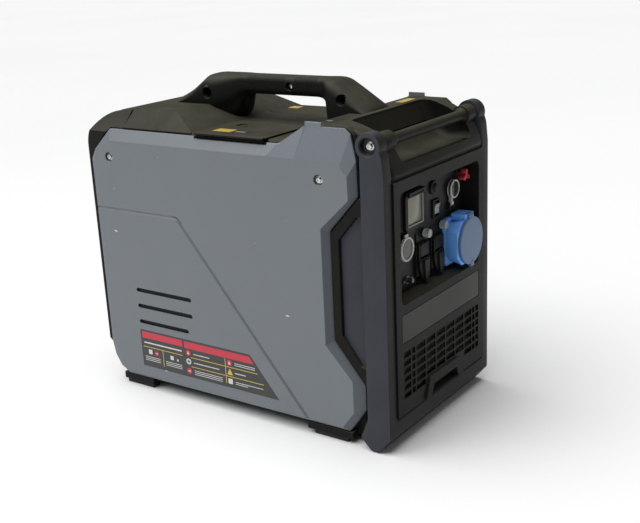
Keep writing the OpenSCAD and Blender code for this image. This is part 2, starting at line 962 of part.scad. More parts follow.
module alternator_rotor() {
    color("#77797c")
        difference() {
            rod_y(0, shaft_z, -119, -69, 61);
            rod_y(0, shaft_z, -125, -60, shaft_r + 0.02);
            for (a = [0 : 45 : 315])
                translate([0, 0, shaft_z])
                    rotate([0, a, 0])
                        rod_y(38, 0, -125, -60, 9);
        }
}

module muffler() {
    color("#6d6a66")
        difference() {
            union() {
                along_y(150, 120)
                    translate([-22, 265])
                        soft_rect(176, 170, 26);
                rod_y(30, 330, 57, 152, 13);
            }
            along_y(154, 112)
                translate([-22, 265])
                    soft_rect(168, 162, 22);
            rod_y(30, 330, 50, 160, 11);
            rod_y(exhaust_x, exhaust_z, 260, 280, exhaust_r);
        }
}

module carburettor() {
    color("#a9abad")
        difference() {
            union() {
                span([-104, -12, 302], [-56, 24, 340]);
                rod_z(-80, 6, 284, 302, 16);
            }
            rod_x(6, 321, -110, -50, 10);
        }
}

module air_filter_box() {
    color("#242422")
        difference() {
            span([-142, -58, 262], [-105, 82, 388]);
            span([-139, -55, 265], [-108, 79, 385]);
            rod_x(6, 321, -110, -100, 10);
        }
}

module fuel_tank() {
    color("#353533")
        difference() {
            union() {
                span([-138, -110, 402], [138, 108, 460]);
                rod_z(cap_x, cap_y, 455, 477, 22);
            }
            span([-135, -107, 405], [135, 105, 457]);
            rod_z(cap_x, cap_y, 450, 480, 19);
        }
}

module inverter_module() {
    color("#8d9094")
        union() {
            span([-120, -226, 74], [120, -186, 226]);
            for (x = [-114 : 12 : 114])
                span([x - 1.2, -244, 78], [x + 1.2, -225, 222]);
        }
}

module battery() {
    color("#20304a")
        union() {
            span([78, 170, tray_top + 0.3], [140, 268, 158]);
            for (y = [188, 250])
                rod_z(109, y, 157, 168, 7);
        }
}

module starter_motor() {
    color("#303234")
        union() {
            rod_y(-116, 140, -40, 60, 26);
            rod_y(-116, 140, -52, -40, 10);
        }
}

module spark_plug() {
    color("#e4e2da")
        union() {
            rod_x(0, 354, 44.2, 62, 6.9);
            rod_x(0, 354, 62, 92, 11);
        }
}

module engine_mounts() {
    color("#1c1c1c")
        for (s = [-1, 1], y = [-44, 52])
            rod_z(s * 66, y, tray_top + 0.2, shaft_z - 90.2, 15);
}

base_tray();
rubber_feet();
front_frame();
front_panel();
control_pan();
label_plate();
top_cover();
rear_cover();
left_panel();
right_panel();
left_insert();
right_insert();
handle_left();
handle_right();
handle_bolts();
grab_bar();
fuel_lid();
fuel_cap();
panel_bolts();
frame_bolts();
lcd_housing();
lcd_glass();
start_button_ring();
start_button();
eco_switch_frame();
eco_rocker();
engine_switch();
switch_guard();
fuel_knob_bezel();
fuel_knob();
breaker_bodies();
breaker_button_left();
breaker_button_right();
indicator_lamps();
socket_left();
socket_right();
socket_left_lid();
socket_right_lid();
cee_socket();
cee_lid();
dc_socket();
dc_cap();
ground_terminal();
exhaust_outlet();
engine_crankcase();
engine_cylinder();
crankshaft();
flywheel_fan();
fan_shroud();
alternator_stator();
alternator_rotor();
muffler();
carburettor();
air_filter_box();
fuel_tank();
inverter_module();
battery();
starter_motor();
spark_plug();
engine_mounts();
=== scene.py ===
# %% [markdown]
# # A suitcase-style inverter generator
# This lesson dresses the imported engineering model of a portable generator. The case is mostly
# injection-moulded plastic, and what makes moulded plastic look real is small: edges with a radius,
# a fine grain, a little dust on top with a painted sheen, and a little wear along the edges with a
# painted highlight; forward faces are also painted a little darker, a painted shade.

# %% The frame, and the libraries
import json
import math

import bmesh
import bpy
from mathutils import Matrix, Vector


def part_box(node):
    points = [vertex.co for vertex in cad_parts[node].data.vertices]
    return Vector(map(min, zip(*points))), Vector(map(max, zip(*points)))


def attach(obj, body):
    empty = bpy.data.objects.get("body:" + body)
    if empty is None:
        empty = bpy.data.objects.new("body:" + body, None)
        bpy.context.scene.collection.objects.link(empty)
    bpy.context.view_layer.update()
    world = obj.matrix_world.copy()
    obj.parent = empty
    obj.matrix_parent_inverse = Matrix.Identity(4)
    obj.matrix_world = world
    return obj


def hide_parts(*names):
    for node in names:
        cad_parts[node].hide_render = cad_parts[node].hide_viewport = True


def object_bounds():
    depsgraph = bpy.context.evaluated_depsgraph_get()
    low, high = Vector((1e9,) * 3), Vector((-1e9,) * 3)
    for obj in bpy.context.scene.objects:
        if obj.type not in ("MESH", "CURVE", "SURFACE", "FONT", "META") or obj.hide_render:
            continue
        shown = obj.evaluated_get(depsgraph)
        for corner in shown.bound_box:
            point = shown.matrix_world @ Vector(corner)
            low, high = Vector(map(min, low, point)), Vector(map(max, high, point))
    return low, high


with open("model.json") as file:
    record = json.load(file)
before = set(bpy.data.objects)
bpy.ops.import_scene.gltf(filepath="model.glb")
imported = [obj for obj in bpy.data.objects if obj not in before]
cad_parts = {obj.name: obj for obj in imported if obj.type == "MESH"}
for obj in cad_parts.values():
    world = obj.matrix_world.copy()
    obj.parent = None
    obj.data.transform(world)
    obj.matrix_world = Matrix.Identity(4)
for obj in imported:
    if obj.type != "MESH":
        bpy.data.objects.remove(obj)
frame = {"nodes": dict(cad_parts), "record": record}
cad_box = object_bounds()
record = frame["record"]
SLOT_OF = {part["node"]: part["material_slot"] for part in record["subparts"]}
BODY_OF = {node: body for body, nodes in record["behaviour"]["bodies"].items() for node in nodes}
MM = 0.001

# %% [markdown]
# ## Camera
# The camera stands at eye height in front of the left side of the set, so that the grey side panel
# and the control panel both show. It looks slightly down and leans by a few degrees, as a hand-held
# camera does. A camera matrix needs three directions: its right, its up, and the way it looks back.

# %% Camera
CAMERA_PLACE = Vector((-1.4323, -1.0920, 0.7988))
CAMERA_AZIMUTH = math.radians(-54.4)
CAMERA_ELEVATION = math.radians(17.4)
CAMERA_ROLL = math.radians(-2.7)


def camera_turn(azimuth, elevation, roll):
    """The camera's turn as a matrix, from where it stands round the object and how it leans."""
    back = Vector((math.sin(azimuth) * math.cos(elevation),
                   -math.cos(azimuth) * math.cos(elevation),
                   math.sin(elevation)))
    right = Vector((0, 0, 1)).cross(back).normalized()
    up = back.cross(right)
    lean = Matrix.Rotation(roll, 3, "Z")
    return Matrix((right, up, back)).transposed() @ lean


lens = bpy.data.cameras.new("camera")
lens.lens = 57.4
lens.sensor_width = 36
camera = bpy.data.objects.new("camera", lens)
bpy.context.scene.collection.objects.link(camera)
camera.matrix_world = (Matrix.Translation(CAMERA_PLACE)
                       @ camera_turn(CAMERA_AZIMUTH, CAMERA_ELEVATION, CAMERA_ROLL).to_4x4())
bpy.context.scene.camera = camera
print("camera at", tuple(round(v, 2) for v in CAMERA_PLACE))

# %% [markdown]
# ## Floor and light
# A product picture has a pale floor that runs out of sight and light without hard shadows. A wide
# sun lamp, about as large in the sky as an overcast patch, lights the whole floor evenly, where an
# area lamp would leave a bright pool. Two area lamps then shape the object: one large and soft from
# the left for the grey panel, one from the right front for the dark controls.

# %% Floor and light
FLOOR_SIZE = 60
floor_mesh = bmesh.new()
bmesh.ops.create_grid(floor_mesh, x_segments=1, y_segments=1, size=FLOOR_SIZE / 2)
floor_data = bpy.data.meshes.new("floor")
floor_mesh.to_mesh(floor_data)
floor_mesh.free()
floor = bpy.data.objects.new("floor", floor_data)
bpy.context.scene.collection.objects.link(floor)


def add_light(name, kind, energy, place, target, **settings):
    """A lamp at a place, aimed at a target, both in metres."""
    data = bpy.data.lights.new(name, kind)
    data.energy = energy
    for setting, value in settings.items():
        setattr(data, setting, value)
    lamp = bpy.data.objects.new(name, data)
    bpy.context.scene.collection.objects.link(lamp)
    lamp.location = place
    lamp.rotation_euler = (Vector(target) - Vector(place)).to_track_quat("-Z", "Y").to_euler()


middle = (cad_box[0] + cad_box[1]) / 2
add_light("sky_sun", "SUN", 3.0, (-0.75, 0.7, 3), (0, 0, 0), angle=math.radians(70))
add_light("side_softbox", "AREA", 13, (-2.1, 1.1, 2.1), middle, shape="RECTANGLE", size=1.8, size_y=1.4)
add_light("front_softbox", "AREA", 2, (0.9, -2.6, 1.5), middle, shape="RECTANGLE", size=1.4, size_y=1.2)

world = bpy.data.worlds.new("studio")
bpy.context.scene.world = world
world.use_nodes = True
world.node_tree.nodes["Background"].inputs["Color"].default_value = (0.97, 0.98, 1.0, 1)
world.node_tree.nodes["Background"].inputs["Strength"].default_value = 0.15
bpy.context.scene.view_settings.view_transform = "Standard"

# %% [markdown]
# ## Node groups shared by the finishes
# An effect that several materials need is built once, as a node group with named sockets, and then
# placed in each material with its own values. A group here only puts out masks and heights. The
# shader itself stays in the material.

# %% Helpers for node trees


def srgb(red, green, blue):
    """A colour given as screen values from 0 to 255, as the linear colour that a shader takes."""
    def linear(value):
        value /= 255
        return value / 12.92 if value <= 0.04045 else ((value + 0.055) / 1.055) ** 2.4
    return linear(red), linear(green), linear(blue), 1.0


def add_node(tree, kind, **settings):
    """A new node in a tree. A setting that names an input gives that input its value."""
    node = tree.nodes.new(kind)
    for name, value in settings.items():
        if hasattr(node, name):
            setattr(node, name, value)
        else:
            node.inputs[name.replace("_", " ")].default_value = value
    return node


def maths(tree, operation, first, second):
    """A Math node on two things, each a socket or a number."""
    node = tree.nodes.new("ShaderNodeMath")
    node.operation = operation
    for socket, value in zip(node.inputs, (first, second)):
        if isinstance(value, (int, float)):
            socket.default_value = value
        else:
            tree.links.new(value, socket)
    return node.outputs[0]


def spread(tree, value, low, high, to_low=0.0, to_high=1.0):
    """Stretches what lies between low and high to a new range, and holds it there."""
    node = add_node(tree, "ShaderNodeMapRange", clamp=True)
    tree.links.new(value, node.inputs["Value"])
    for name, number in (("From Min", low), ("From Max", high), ("To Min", to_low), ("To Max", to_high)):
        node.inputs[name].default_value = number
    return node.outputs["Result"]


def blend_colours(tree, mask, first, second):
    """One colour where the mask is 0, another where it is 1; each a socket or a colour."""
    node = tree.nodes.new("ShaderNodeMix")
    node.data_type = "RGBA"
    tree.links.new(mask, node.inputs["Factor"])
    for socket, value in ((node.inputs[6], first), (node.inputs[7], second)):
        if isinstance(value, tuple):
            socket.default_value = value
        else:
            tree.links.new(value, socket)
    return node.outputs[2]


def new_group(name, inputs, outputs):
    """An empty node group with its sockets, and its two ends."""
    group = bpy.data.node_groups.new(name, "ShaderNodeTree")
    for label, value in inputs.items():
        socket = group.interface.new_socket(name=label, in_out="INPUT", socket_type="NodeSocketFloat")
        socket.default_value = value
    for label in outputs:
        group.interface.new_socket(name=label, in_out="OUTPUT", socket_type="NodeSocketFloat")
    return group, group.nodes.new("NodeGroupInput"), group.nodes.new("NodeGroupOutput")


def place_group(tree, group, **values):
    """A node group placed in a material, with its own values."""
    node = tree.nodes.new("ShaderNodeGroup")
    node.node_tree = group
    for name, value in values.items():
        node.inputs[name.replace("_", " ")].default_value = value
    return node


def noise(tree, vector, scale, detail=2.0, roughness=0.5):
    """A noise pattern over a vector socket."""
    node = add_node(tree, "ShaderNodeTexNoise")
    node.inputs["Scale"].default_value = scale
    node.inputs["Detail"].default_value = detail
    node.inputs["Roughness"].default_value = roughness
    tree.links.new(vector, node.inputs["Vector"])
    return node.outputs["Fac"]


# %% [markdown]
# ### Moulded grain
# A mould for a casing is etched, so that the plastic comes out with a fine leathery grain that hides
# fingerprints. Two noises make it: a fine one for the grain itself, and a broad one, because a large
# moulding is never equally glossy all over.

# %% Group: moulded grain
grain_group, start, end = new_group("moulded_grain", {"Scale": 900.0}, ["Height", "Gloss drift"])
place = add_node(grain_group, "ShaderNodeTexCoord").outputs["Object"]
fine = grain_group.nodes.new("ShaderNodeTexNoise")
fine.inputs["Detail"].default_value = 2.5
grain_group.links.new(place, fine.inputs["Vector"])
grain_group.links.new(start.outputs["Scale"], fine.inputs["Scale"])
grain_group.links.new(fine.outputs["Fac"], end.inputs["Height"])
grain_group.links.new(spread(grain_group, noise(grain_group, place, 7, 3), 0.3, 0.7),
                      end.inputs["Gloss drift"])
print("group", grain_group.name)

# %% [markdown]
# ### Edge wear and painted edge highlight
# Hands and van floors polish the edges first, and the same mask also paints a pale highlight along
# the edges, where a rounded edge would catch the light. The Bevel node gives the normal that the
# surface would have if its edges were rounder, and where that differs from the true normal there is
# an edge. A noise breaks the mask up, because wear is never even.

# %% Group: edge wear and painted edge highlight
wear_and_highlight_group, start, end = new_group("edge_wear_and_highlight", {"Radius": 0.0012, "Breakup": 60.0}, ["Mask"])
place = add_node(wear_and_highlight_group, "ShaderNodeTexCoord").outputs["Object"]
rounder = add_node(wear_and_highlight_group, "ShaderNodeBevel", samples=4)
wear_and_highlight_group.links.new(start.outputs["Radius"], rounder.inputs["Radius"])
true_normal = add_node(wear_and_highlight_group, "ShaderNodeNewGeometry").outputs["Normal"]
agree = add_node(wear_and_highlight_group, "ShaderNodeVectorMath", operation="DOT_PRODUCT")
wear_and_highlight_group.links.new(rounder.outputs["Normal"], agree.inputs[0])
wear_and_highlight_group.links.new(true_normal, agree.inputs[1])
edge = spread(wear_and_highlight_group, agree.outputs["Value"], 0.995, 0.86)
patches = wear_and_highlight_group.nodes.new("ShaderNodeTexNoise")
patches.inputs["Detail"].default_value = 4
wear_and_highlight_group.links.new(place, patches.inputs["Vector"])
wear_and_highlight_group.links.new(start.outputs["Breakup"], patches.inputs["Scale"])
broken = spread(wear_and_highlight_group, patches.outputs["Fac"], 0.38, 0.7)
wear_and_highlight_group.links.new(maths(wear_and_highlight_group, "MULTIPLY", edge, broken), end.inputs["Mask"])
print("group", wear_and_highlight_group.name)

# %% [markdown]
# ### Settled dust and painted sheen
# Dust lies on what faces up, and the same mask paints a warm sheen on upward faces, a painted
# highlight of the light from above. The normal is turned into the piece's own space first, so that
# the dust and the painted sheen stay where they were when a lid swings open.

# %% Group: settled dust and painted sheen
dust_and_sheen_group, start, end = new_group("dust_and_painted_sheen", {"Amount": 0.5}, ["Mask"])
normal = add_node(dust_and_sheen_group, "ShaderNodeNewGeometry").outputs["Normal"]
own_space = add_node(dust_and_sheen_group, "ShaderNodeVectorTransform", vector_type="NORMAL",
                     convert_from="WORLD", convert_to="OBJECT")
dust_and_sheen_group.links.new(normal, own_space.inputs["Vector"])
parts = add_node(dust_and_sheen_group, "ShaderNodeSeparateXYZ")
dust_and_sheen_group.links.new(own_space.outputs["Vector"], parts.inputs["Vector"])
upward = spread(dust_and_sheen_group, parts.outputs["Z"], 0.15, 0.95)
place = add_node(dust_and_sheen_group, "ShaderNodeTexCoord").outputs["Object"]
drift = spread(dust_and_sheen_group, noise(dust_and_sheen_group, place, 22, 5, 0.6), 0.25, 0.8, 0.45, 1.0)
lying = maths(dust_and_sheen_group, "MULTIPLY", upward, drift)
dust_and_sheen_group.links.new(maths(dust_and_sheen_group, "MULTIPLY", lying, start.outputs["Amount"]), end.inputs["Mask"])
print("group", dust_and_sheen_group.name)

# %% [markdown]
# ### Scuffs
# A used casing has a few short pale rubs. A noise that is stretched one way and kept only at its very
# peaks leaves a handful of short streaks.

# %% Group: scuffs
scuff_group, start, end = new_group("scuffs", {"Rarity": 0.775}, ["Mask"])
place = add_node(scuff_group, "ShaderNodeTexCoord").outputs["Object"]
squeeze = add_node(scuff_group, "ShaderNodeMapping")
squeeze.inputs["Scale"].default_value = (30, 30, 110)
squeeze.inputs["Rotation"].default_value = (0.3, 0.1, 0)
scuff_group.links.new(place, squeeze.inputs["Vector"])
streaks = noise(scuff_group, squeeze.outputs["Vector"], 1.0, 1.5)
sharp = add_node(scuff_group, "ShaderNodeMath", operation="SUBTRACT")
scuff_group.links.new(streaks, sharp.inputs[0])
scuff_group.links.new(start.outputs["Rarity"], sharp.inputs[1])
scuff_group.links.new(spread(scuff_group, sharp.outputs[0], 0.0, 0.03), end.inputs["Mask"])
print("group", scuff_group.name)

# %% [markdown]
# ### Forward shade
# A painted shade: faces that turn towards the front of the set are painted darker, as if the room
# were dark on that side. The mask grows as a face turns towards the front of the set, and the
# finishes blend to a deeper tone there.

# %% Group: forward shade
forward_group, start, end = new_group("forward_shade", {"Low": 0.2, "High": 0.7}, ["Mask"])
normal = add_node(forward_group, "ShaderNodeNewGeometry").outputs["Normal"]
own_space = add_node(forward_group, "ShaderNodeVectorTransform", vector_type="NORMAL",
                     convert_from="WORLD", convert_to="OBJECT")
forward_group.links.new(normal, own_space.inputs["Vector"])
parts = add_node(forward_group, "ShaderNodeSeparateXYZ")
forward_group.links.new(own_space.outputs["Vector"], parts.inputs["Vector"])
turned = add_node(forward_group, "ShaderNodeMapRange", clamp=True)
forward = maths(forward_group, "MULTIPLY", parts.outputs["Y"], -1.0)
forward_group.links.new(forward, turned.inputs["Value"])
forward_group.links.new(start.outputs["Low"], turned.inputs["From Min"])
forward_group.links.new(start.outputs["High"], turned.inputs["From Max"])
forward_group.links.new(turned.outputs["Result"], end.inputs["Mask"])
print("group", forward_group.name)

# %% [markdown]
# ## Finishes
# One function makes every moulded plastic. Its colour is mixed from the base tone, a painted shade on
# forward faces where a front tone is given, the dust with a painted sheen on top, and the worn edge
# with a painted edge highlight; its roughness drifts a little; and its grain goes in as a bump.

# %% Moulded plastics
FINISH = {}


def new_material(slot):
    """A material for one slot of the record, its tree, its shader, and its place socket."""
    material = bpy.data.materials.new(slot)
    material.use_nodes = True
    tree = material.node_tree
    FINISH[slot] = material
    return tree, tree.nodes["Principled BSDF"], add_node(tree, "ShaderNodeTexCoord").outputs["Object"]


def add_bump(tree, shader, height, distance):
    """Feeds a height to the shader's normal. Distance is in metres."""
    bump = add_node(tree, "ShaderNodeBump")
    bump.inputs["Distance"].default_value = distance
    bump.inputs["Strength"].default_value = 1.0
    tree.links.new(height, bump.inputs["Height"])
    tree.links.new(bump.outputs["Normal"], shader.inputs["Normal"])


def moulded_plastic(slot, tone, roughness, dust_and_sheen_tone, dust=0.5, wear_and_highlight_tone=None, wear=0.35,
                    scale=900.0, depth=0.00012, scuff_tone=None, coat=0.0, cloud=0.12, shine=0.5,
                    painted_front_shade=None):
    """A grained plastic moulding with dust and a painted sheen on top, and worn edges that also carry a
    painted highlight. Scale and depth are the grain's, cloud is how far the tone drifts, and the front
    tone is a painted shade on what faces forwards; dust sets how much dust and painted sheen lie on
    top, and wear how strong the worn and painted-highlight edge is."""
    tree, shader, place = new_material(slot)
    mottle = spread(tree, noise(tree, place, 14, 4), 0.3, 0.7, 0.0, 1.0)
    light = tuple(min(1, v * (1 + cloud)) for v in tone[:3]) + (1.0,)
    dark = tuple(v * (1 - cloud) for v in tone[:3]) + (1.0,)
    colour = blend_colours(tree, mottle, dark, light)
    # A painted shade: faces turned to the front blend to the darker front tone.
    if painted_front_shade:
        facing = place_group(tree, forward_group)
        colour = blend_colours(tree, facing.outputs["Mask"], colour, painted_front_shade)
    # Dust on upward faces, mixed with a painted sheen of the light from above.
    dust_and_sheen_node = place_group(tree, dust_and_sheen_group, Amount=dust)
    colour = blend_colours(tree, dust_and_sheen_node.outputs["Mask"], colour, dust_and_sheen_tone)
    if scuff_tone:
        rub = place_group(tree, scuff_group)
        colour = blend_colours(tree, rub.outputs["Mask"], colour, scuff_tone)
    # Worn edges, lightened also as a painted highlight along the edges.
    wear_and_highlight_node = place_group(tree, wear_and_highlight_group)
    bared_and_lit_tone = wear_and_highlight_tone or tuple(min(1, v * 1.9 + 0.01) for v in tone[:3]) + (1.0,)
    colour = blend_colours(tree, maths(tree, "MULTIPLY", wear_and_highlight_node.outputs["Mask"], wear), colour, bared_and_lit_tone)
    tree.links.new(colour, shader.inputs["Base Color"])
    grain = place_group(tree, grain_group, Scale=scale)
    tree.links.new(spread(tree, grain.outputs["Gloss drift"], 0, 1, roughness - 0.05, roughness + 0.05),
                   shader.inputs["Roughness"])
    shader.inputs["Specular IOR Level"].default_value = shine
    shader.inputs["Coat Weight"].default_value = coat
    shader.inputs["Coat Roughness"].default_value = 0.3
    add_bump(tree, shader, grain.outputs["Height"], depth)


# The olive tone on upward faces is dust and also a painted sheen of the light from above.
OLIVE_DUST_AND_SHEEN = srgb(104, 101, 84)
moulded_plastic("black_plastic", srgb(21, 21, 19), 0.5, OLIVE_DUST_AND_SHEEN, dust=0.5, shine=0.13)
# The front tones of the slate and of the grey panel are a painted shade on faces that turn forwards.
moulded_plastic("slate_plastic", srgb(54, 57, 63), 0.50, srgb(100, 101, 96), dust=0.3, shine=0.2,
                painted_front_shade=srgb(26, 26, 25))
# The grey panel's wear tone paints an edge highlight as well as wear.
moulded_plastic("grey_panel", srgb(108, 114, 120), 0.44, srgb(146, 150, 150), dust=0.25,
                wear_and_highlight_tone=srgb(150, 158, 165), wear=0.4, depth=0.00005, scuff_tone=srgb(214, 217, 219),
                coat=0.12, cloud=0.02, painted_front_shade=srgb(64, 71, 78))
moulded_plastic("control_black", srgb(24, 24, 23), 0.46, srgb(84, 82, 72), dust=0.2, shine=0.18)
moulded_plastic("inner_black", srgb(22, 22, 21), 0.6, OLIVE_DUST_AND_SHEEN, dust=0.1, shine=0.25)
moulded_plastic("rocker_grey", srgb(140, 142, 142), 0.38, srgb(160, 160, 155), dust=0.1)
moulded_plastic("red_plastic", srgb(176, 52, 62), 0.36, srgb(170, 90, 90), dust=0.1)
# Its wear tone is worn edge and a painted edge highlight.
moulded_plastic("cee_blue", srgb(106, 168, 248), 0.38, srgb(130, 165, 215), dust=0.12,
                wear_and_highlight_tone=srgb(140, 186, 240))
moulded_plastic("cee_lid_blue", srgb(82, 106, 140), 0.42, srgb(120, 140, 160), dust=0.12)
moulded_plastic("motor_paint", srgb(42, 44, 47), 0.4, OLIVE_DUST_AND_SHEEN)
moulded_plastic("plug_ceramic", srgb(228, 226, 218), 0.2, srgb(210, 205, 190), dust=0.1)
moulded_plastic("lamp_white", srgb(236, 238, 236), 0.25, srgb(220, 220, 214), dust=0.05)
moulded_plastic("rubber", srgb(26, 26, 26), 0.75, srgb(96, 94, 88), dust=0.3, scale=500.0,
                depth=0.0003)
print("plastics:", sorted(FINISH))

# %% [markdown]
# ### Metals
# Zinc-plated bolts, sand-cast aluminium and turned steel differ in colour, roughness and in the
# texture that the process leaves. One function takes the tone and the texture's size and depth.

# %% Metals


def metal(slot, tone, roughness, scale=600.0, depth=0.00005, stain=None):
    """A metal with a fine surface texture and cloudy stains."""
    tree, shader, place = new_material(slot)
    shader.inputs["Metallic"].default_value = 1.0
    clouds = spread(tree, noise(tree, place, 40, 4, 0.6), 0.35, 0.7)
    stained = stain or tuple(v * 0.72 for v in tone[:3]) + (1.0,)
    tree.links.new(blend_colours(tree, clouds, tone, stained), shader.inputs["Base Color"])
    tree.links.new(spread(tree, noise(tree, place, 90, 3), 0.3, 0.7, roughness - 0.08, roughness + 0.1),
                   shader.inputs["Roughness"])
    add_bump(tree, shader, noise(tree, place, scale, 3), depth)


metal("zinc_steel", srgb(206, 208, 204), 0.28)
metal("cast_aluminium", srgb(170, 172, 174), 0.5, 700, 0.0003)
metal("machined_steel", srgb(184, 186, 189), 0.25)
metal("fan_aluminium", srgb(160, 164, 168), 0.4, 500, 0.0002)
metal("copper_winding", srgb(184, 110, 62), 0.35, 900, 0.0002)
metal("rotor_steel", srgb(120, 122, 125), 0.42)
metal("muffler_steel", srgb(132, 126, 118), 0.5, 300, 0.0002, srgb(92, 68, 52))
metals = [slot for slot, made in FINISH.items()
          if made.node_tree.nodes["Principled BSDF"].inputs["Metallic"].default_value]
print("metals:", metals)

# %% [markdown]
# ### Clear parts, the display, printed film and the floor
# The flip guard and the dust cap are clear polycarbonate, slightly hazed by handling. The reset
# boots are milky silicone. The display is a grey reflective screen under a window. The floor is a
# pale matt paper.

# %% Clear parts


def clear_plastic(slot, tone, roughness, transmission):
    """A see-through moulding with faint haze in its roughness."""
    tree, shader, place = new_material(slot)
    shader.inputs["Transmission Weight"].default_value = transmission
    shader.inputs["IOR"].default_value = 1.49
    haze = spread(tree, noise(tree, place, 120, 4), 0.35, 0.7, roughness, roughness + 0.12)
    tree.links.new(haze, shader.inputs["Roughness"])
    tree.links.new(blend_colours(tree, spread(tree, noise(tree, place, 60, 2), 0.3, 0.7), tone,
                                 tuple(v * 0.93 for v in tone[:3]) + (1.0,)), shader.inputs["Base Color"])
    add_bump(tree, shader, noise(tree, place, 300, 2), 0.00003)


clear_plastic("clear_plastic", srgb(236, 240, 238), 0.04, 0.94)
clear_plastic("breaker_boot", srgb(205, 210, 208), 0.3, 0.55)
print("clear parts made")

# %% Display, film and floor
tree, shader, place = new_material("display_glass")
screen = blend_colours(tree, spread(tree, noise(tree, place, 55, 2), 0.3, 0.7), srgb(122, 119, 104),
                       srgb(132, 129, 114))
tree.links.new(screen, shader.inputs["Base Color"])
tree.links.new(spread(tree, noise(tree, place, 400, 2), 0.3, 0.7, 0.16, 0.26), shader.inputs["Roughness"])
shader.inputs["Coat Weight"].default_value = 0.15
shader.inputs["Specular IOR Level"].default_value = 0.3

moulded_plastic("label_film", srgb(34, 34, 30), 0.42, srgb(90, 88, 78), dust=0.15, scale=1600.0,
                depth=0.00003, shine=0.25)
floor_tree, floor_shader, place = new_material("floor")
tone = blend_colours(floor_tree, spread(floor_tree, noise(floor_tree, place, 0.6, 2), 0.3, 0.7),
                     (0.90, 0.90, 0.90, 1), (0.92, 0.92, 0.915, 1))
floor_tree.links.new(tone, floor_shader.inputs["Base Color"])
floor_shader.inputs["Roughness"].default_value = 0.9
floor_shader.inputs["Specular IOR Level"].default_value = 0.1
floor.data.materials.append(FINISH["floor"])
print("finishes:", len(FINISH))

# %% [markdown]
# Each part of the engineering model has a slot in the record that names its material, so one loop
# dresses them all. The parts that are modelled again below get their finish in the same way.

# %% Every carried-over part gets its finish
for name, part in frame["nodes"].items():
    part.data.materials.clear()
    part.data.materials.append(FINISH[SLOT_OF[name]])
missing = sorted(set(SLOT_OF.values()) - set(FINISH))
print("slots without a finish:", missing)

# %% [markdown]
# ## Helpers for modelling
# The pieces are made as a workshop would make them: an outline is pushed into a prism, a bar is
# turned, rings are joined into a skin, and tools are then taken out of the blank. Last of all every
# sharp edge gets a radius, because no moulding and no pressing has a truly sharp edge, and it is the
# highlight along that radius that tells the eye how big the object is.

# %% Outlines, blocks and drums
WELD = 0.01 * MM
SNAP_DIGITS = 6         # rounded shapes are snapped to a thousandth of a millimetre
TURN_TO = {"X": Matrix.Rotation(math.pi / 2, 4, "Y"), "Y": Matrix.Rotation(-math.pi / 2, 4, "X"),
           "Z": Matrix.Identity(4)}


def box_mm(node):
    """The lowest and highest corners of a part, in millimetres."""
    low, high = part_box(node)
    return low / MM, high / MM


def spot(axis, depth, across, up):
    """A place in metres, from millimetres along an axis and the two millimetres across it."""
    return Vector({"X": (depth, across, up), "Y": (across, depth, up), "Z": (across, up, depth)}[axis]) * MM


def prism(outline, axis, start, end, round_by=0, segments=6):
    """An outline made a face, its corners rounded, and pushed along an axis."""
    mesh = bmesh.new()
    corners = [mesh.verts.new(spot(axis, start, across, up)) for across, up in outline]
    mesh.faces.new(corners)
    if round_by:
        bmesh.ops.bevel(mesh, geom=corners, affect="VERTICES", offset=round_by * MM, segments=segments,
                        profile=0.5, material=-1, clamp_overlap=True)
    pushed = bmesh.ops.extrude_face_region(mesh, geom=mesh.faces[:])["geom"]
    bmesh.ops.translate(mesh, vec=spot(axis, end - start, 0, 0),
                        verts=[v for v in pushed if isinstance(v, bmesh.types.BMVert)])
    bmesh.ops.recalc_face_normals(mesh, faces=mesh.faces)
    return mesh


def rectangle(across, up, width, height):
    """The four corners of a rectangle about its middle."""
    return [(across + i * width / 2, up + k * height / 2) for i, k in ((-1, -1), (1, -1), (1, 1), (-1, 1))]


def block(low, high):
    """A block between two corners in millimetres."""
    mesh = bmesh.new()
    low, high = Vector(low) * MM, Vector(high) * MM
    bmesh.ops.create_cube(mesh, size=1, matrix=Matrix.Translation((low + high) / 2)
                          @ Matrix.Diagonal((*(high - low), 1)))
    return mesh


def drum(axis, across, up, start, end, radius, end_radius=None, sides=48, turn=0.0):
    """A round or many-sided bar along an axis; its radius may change towards the end."""
    mesh = bmesh.new()
    bmesh.ops.create_cone(mesh, cap_ends=True, segments=sides, radius1=radius * MM,
                          radius2=(radius if end_radius is None else end_radius) * MM,
                          depth=(end - start) * MM,
                          matrix=Matrix.Translation(spot(axis, (start + end) / 2, across, up))
                          @ TURN_TO[axis] @ Matrix.Rotation(turn, 4, "Z"))
    return mesh


def lathe(axis, across, up, profile, steps=64, closed=False):
    """A profile of (radius, depth) turned round an axis. A closed profile makes a ring."""
    mesh = bmesh.new()
    points = [mesh.verts.new(spot(axis, depth, across + radius, up)
                             if axis != "X" else spot(axis, depth, across, up + radius))
              for radius, depth in profile]
    pairs = list(zip(points, points[1:])) + ([(points[-1], points[0])] if closed else [])
    edges = [mesh.edges.new(pair) for pair in pairs]
    direction = spot(axis, 1, 0, 0).normalized()
    bmesh.ops.spin(mesh, geom=points + edges, cent=spot(axis, 0, across, up), axis=direction,
                   dvec=(0, 0, 0), angle=2 * math.pi, steps=steps, use_merge=True)
    bmesh.ops.remove_doubles(mesh, verts=mesh.verts, dist=WELD)
    bmesh.ops.recalc_face_normals(mesh, faces=mesh.faces)
    return mesh


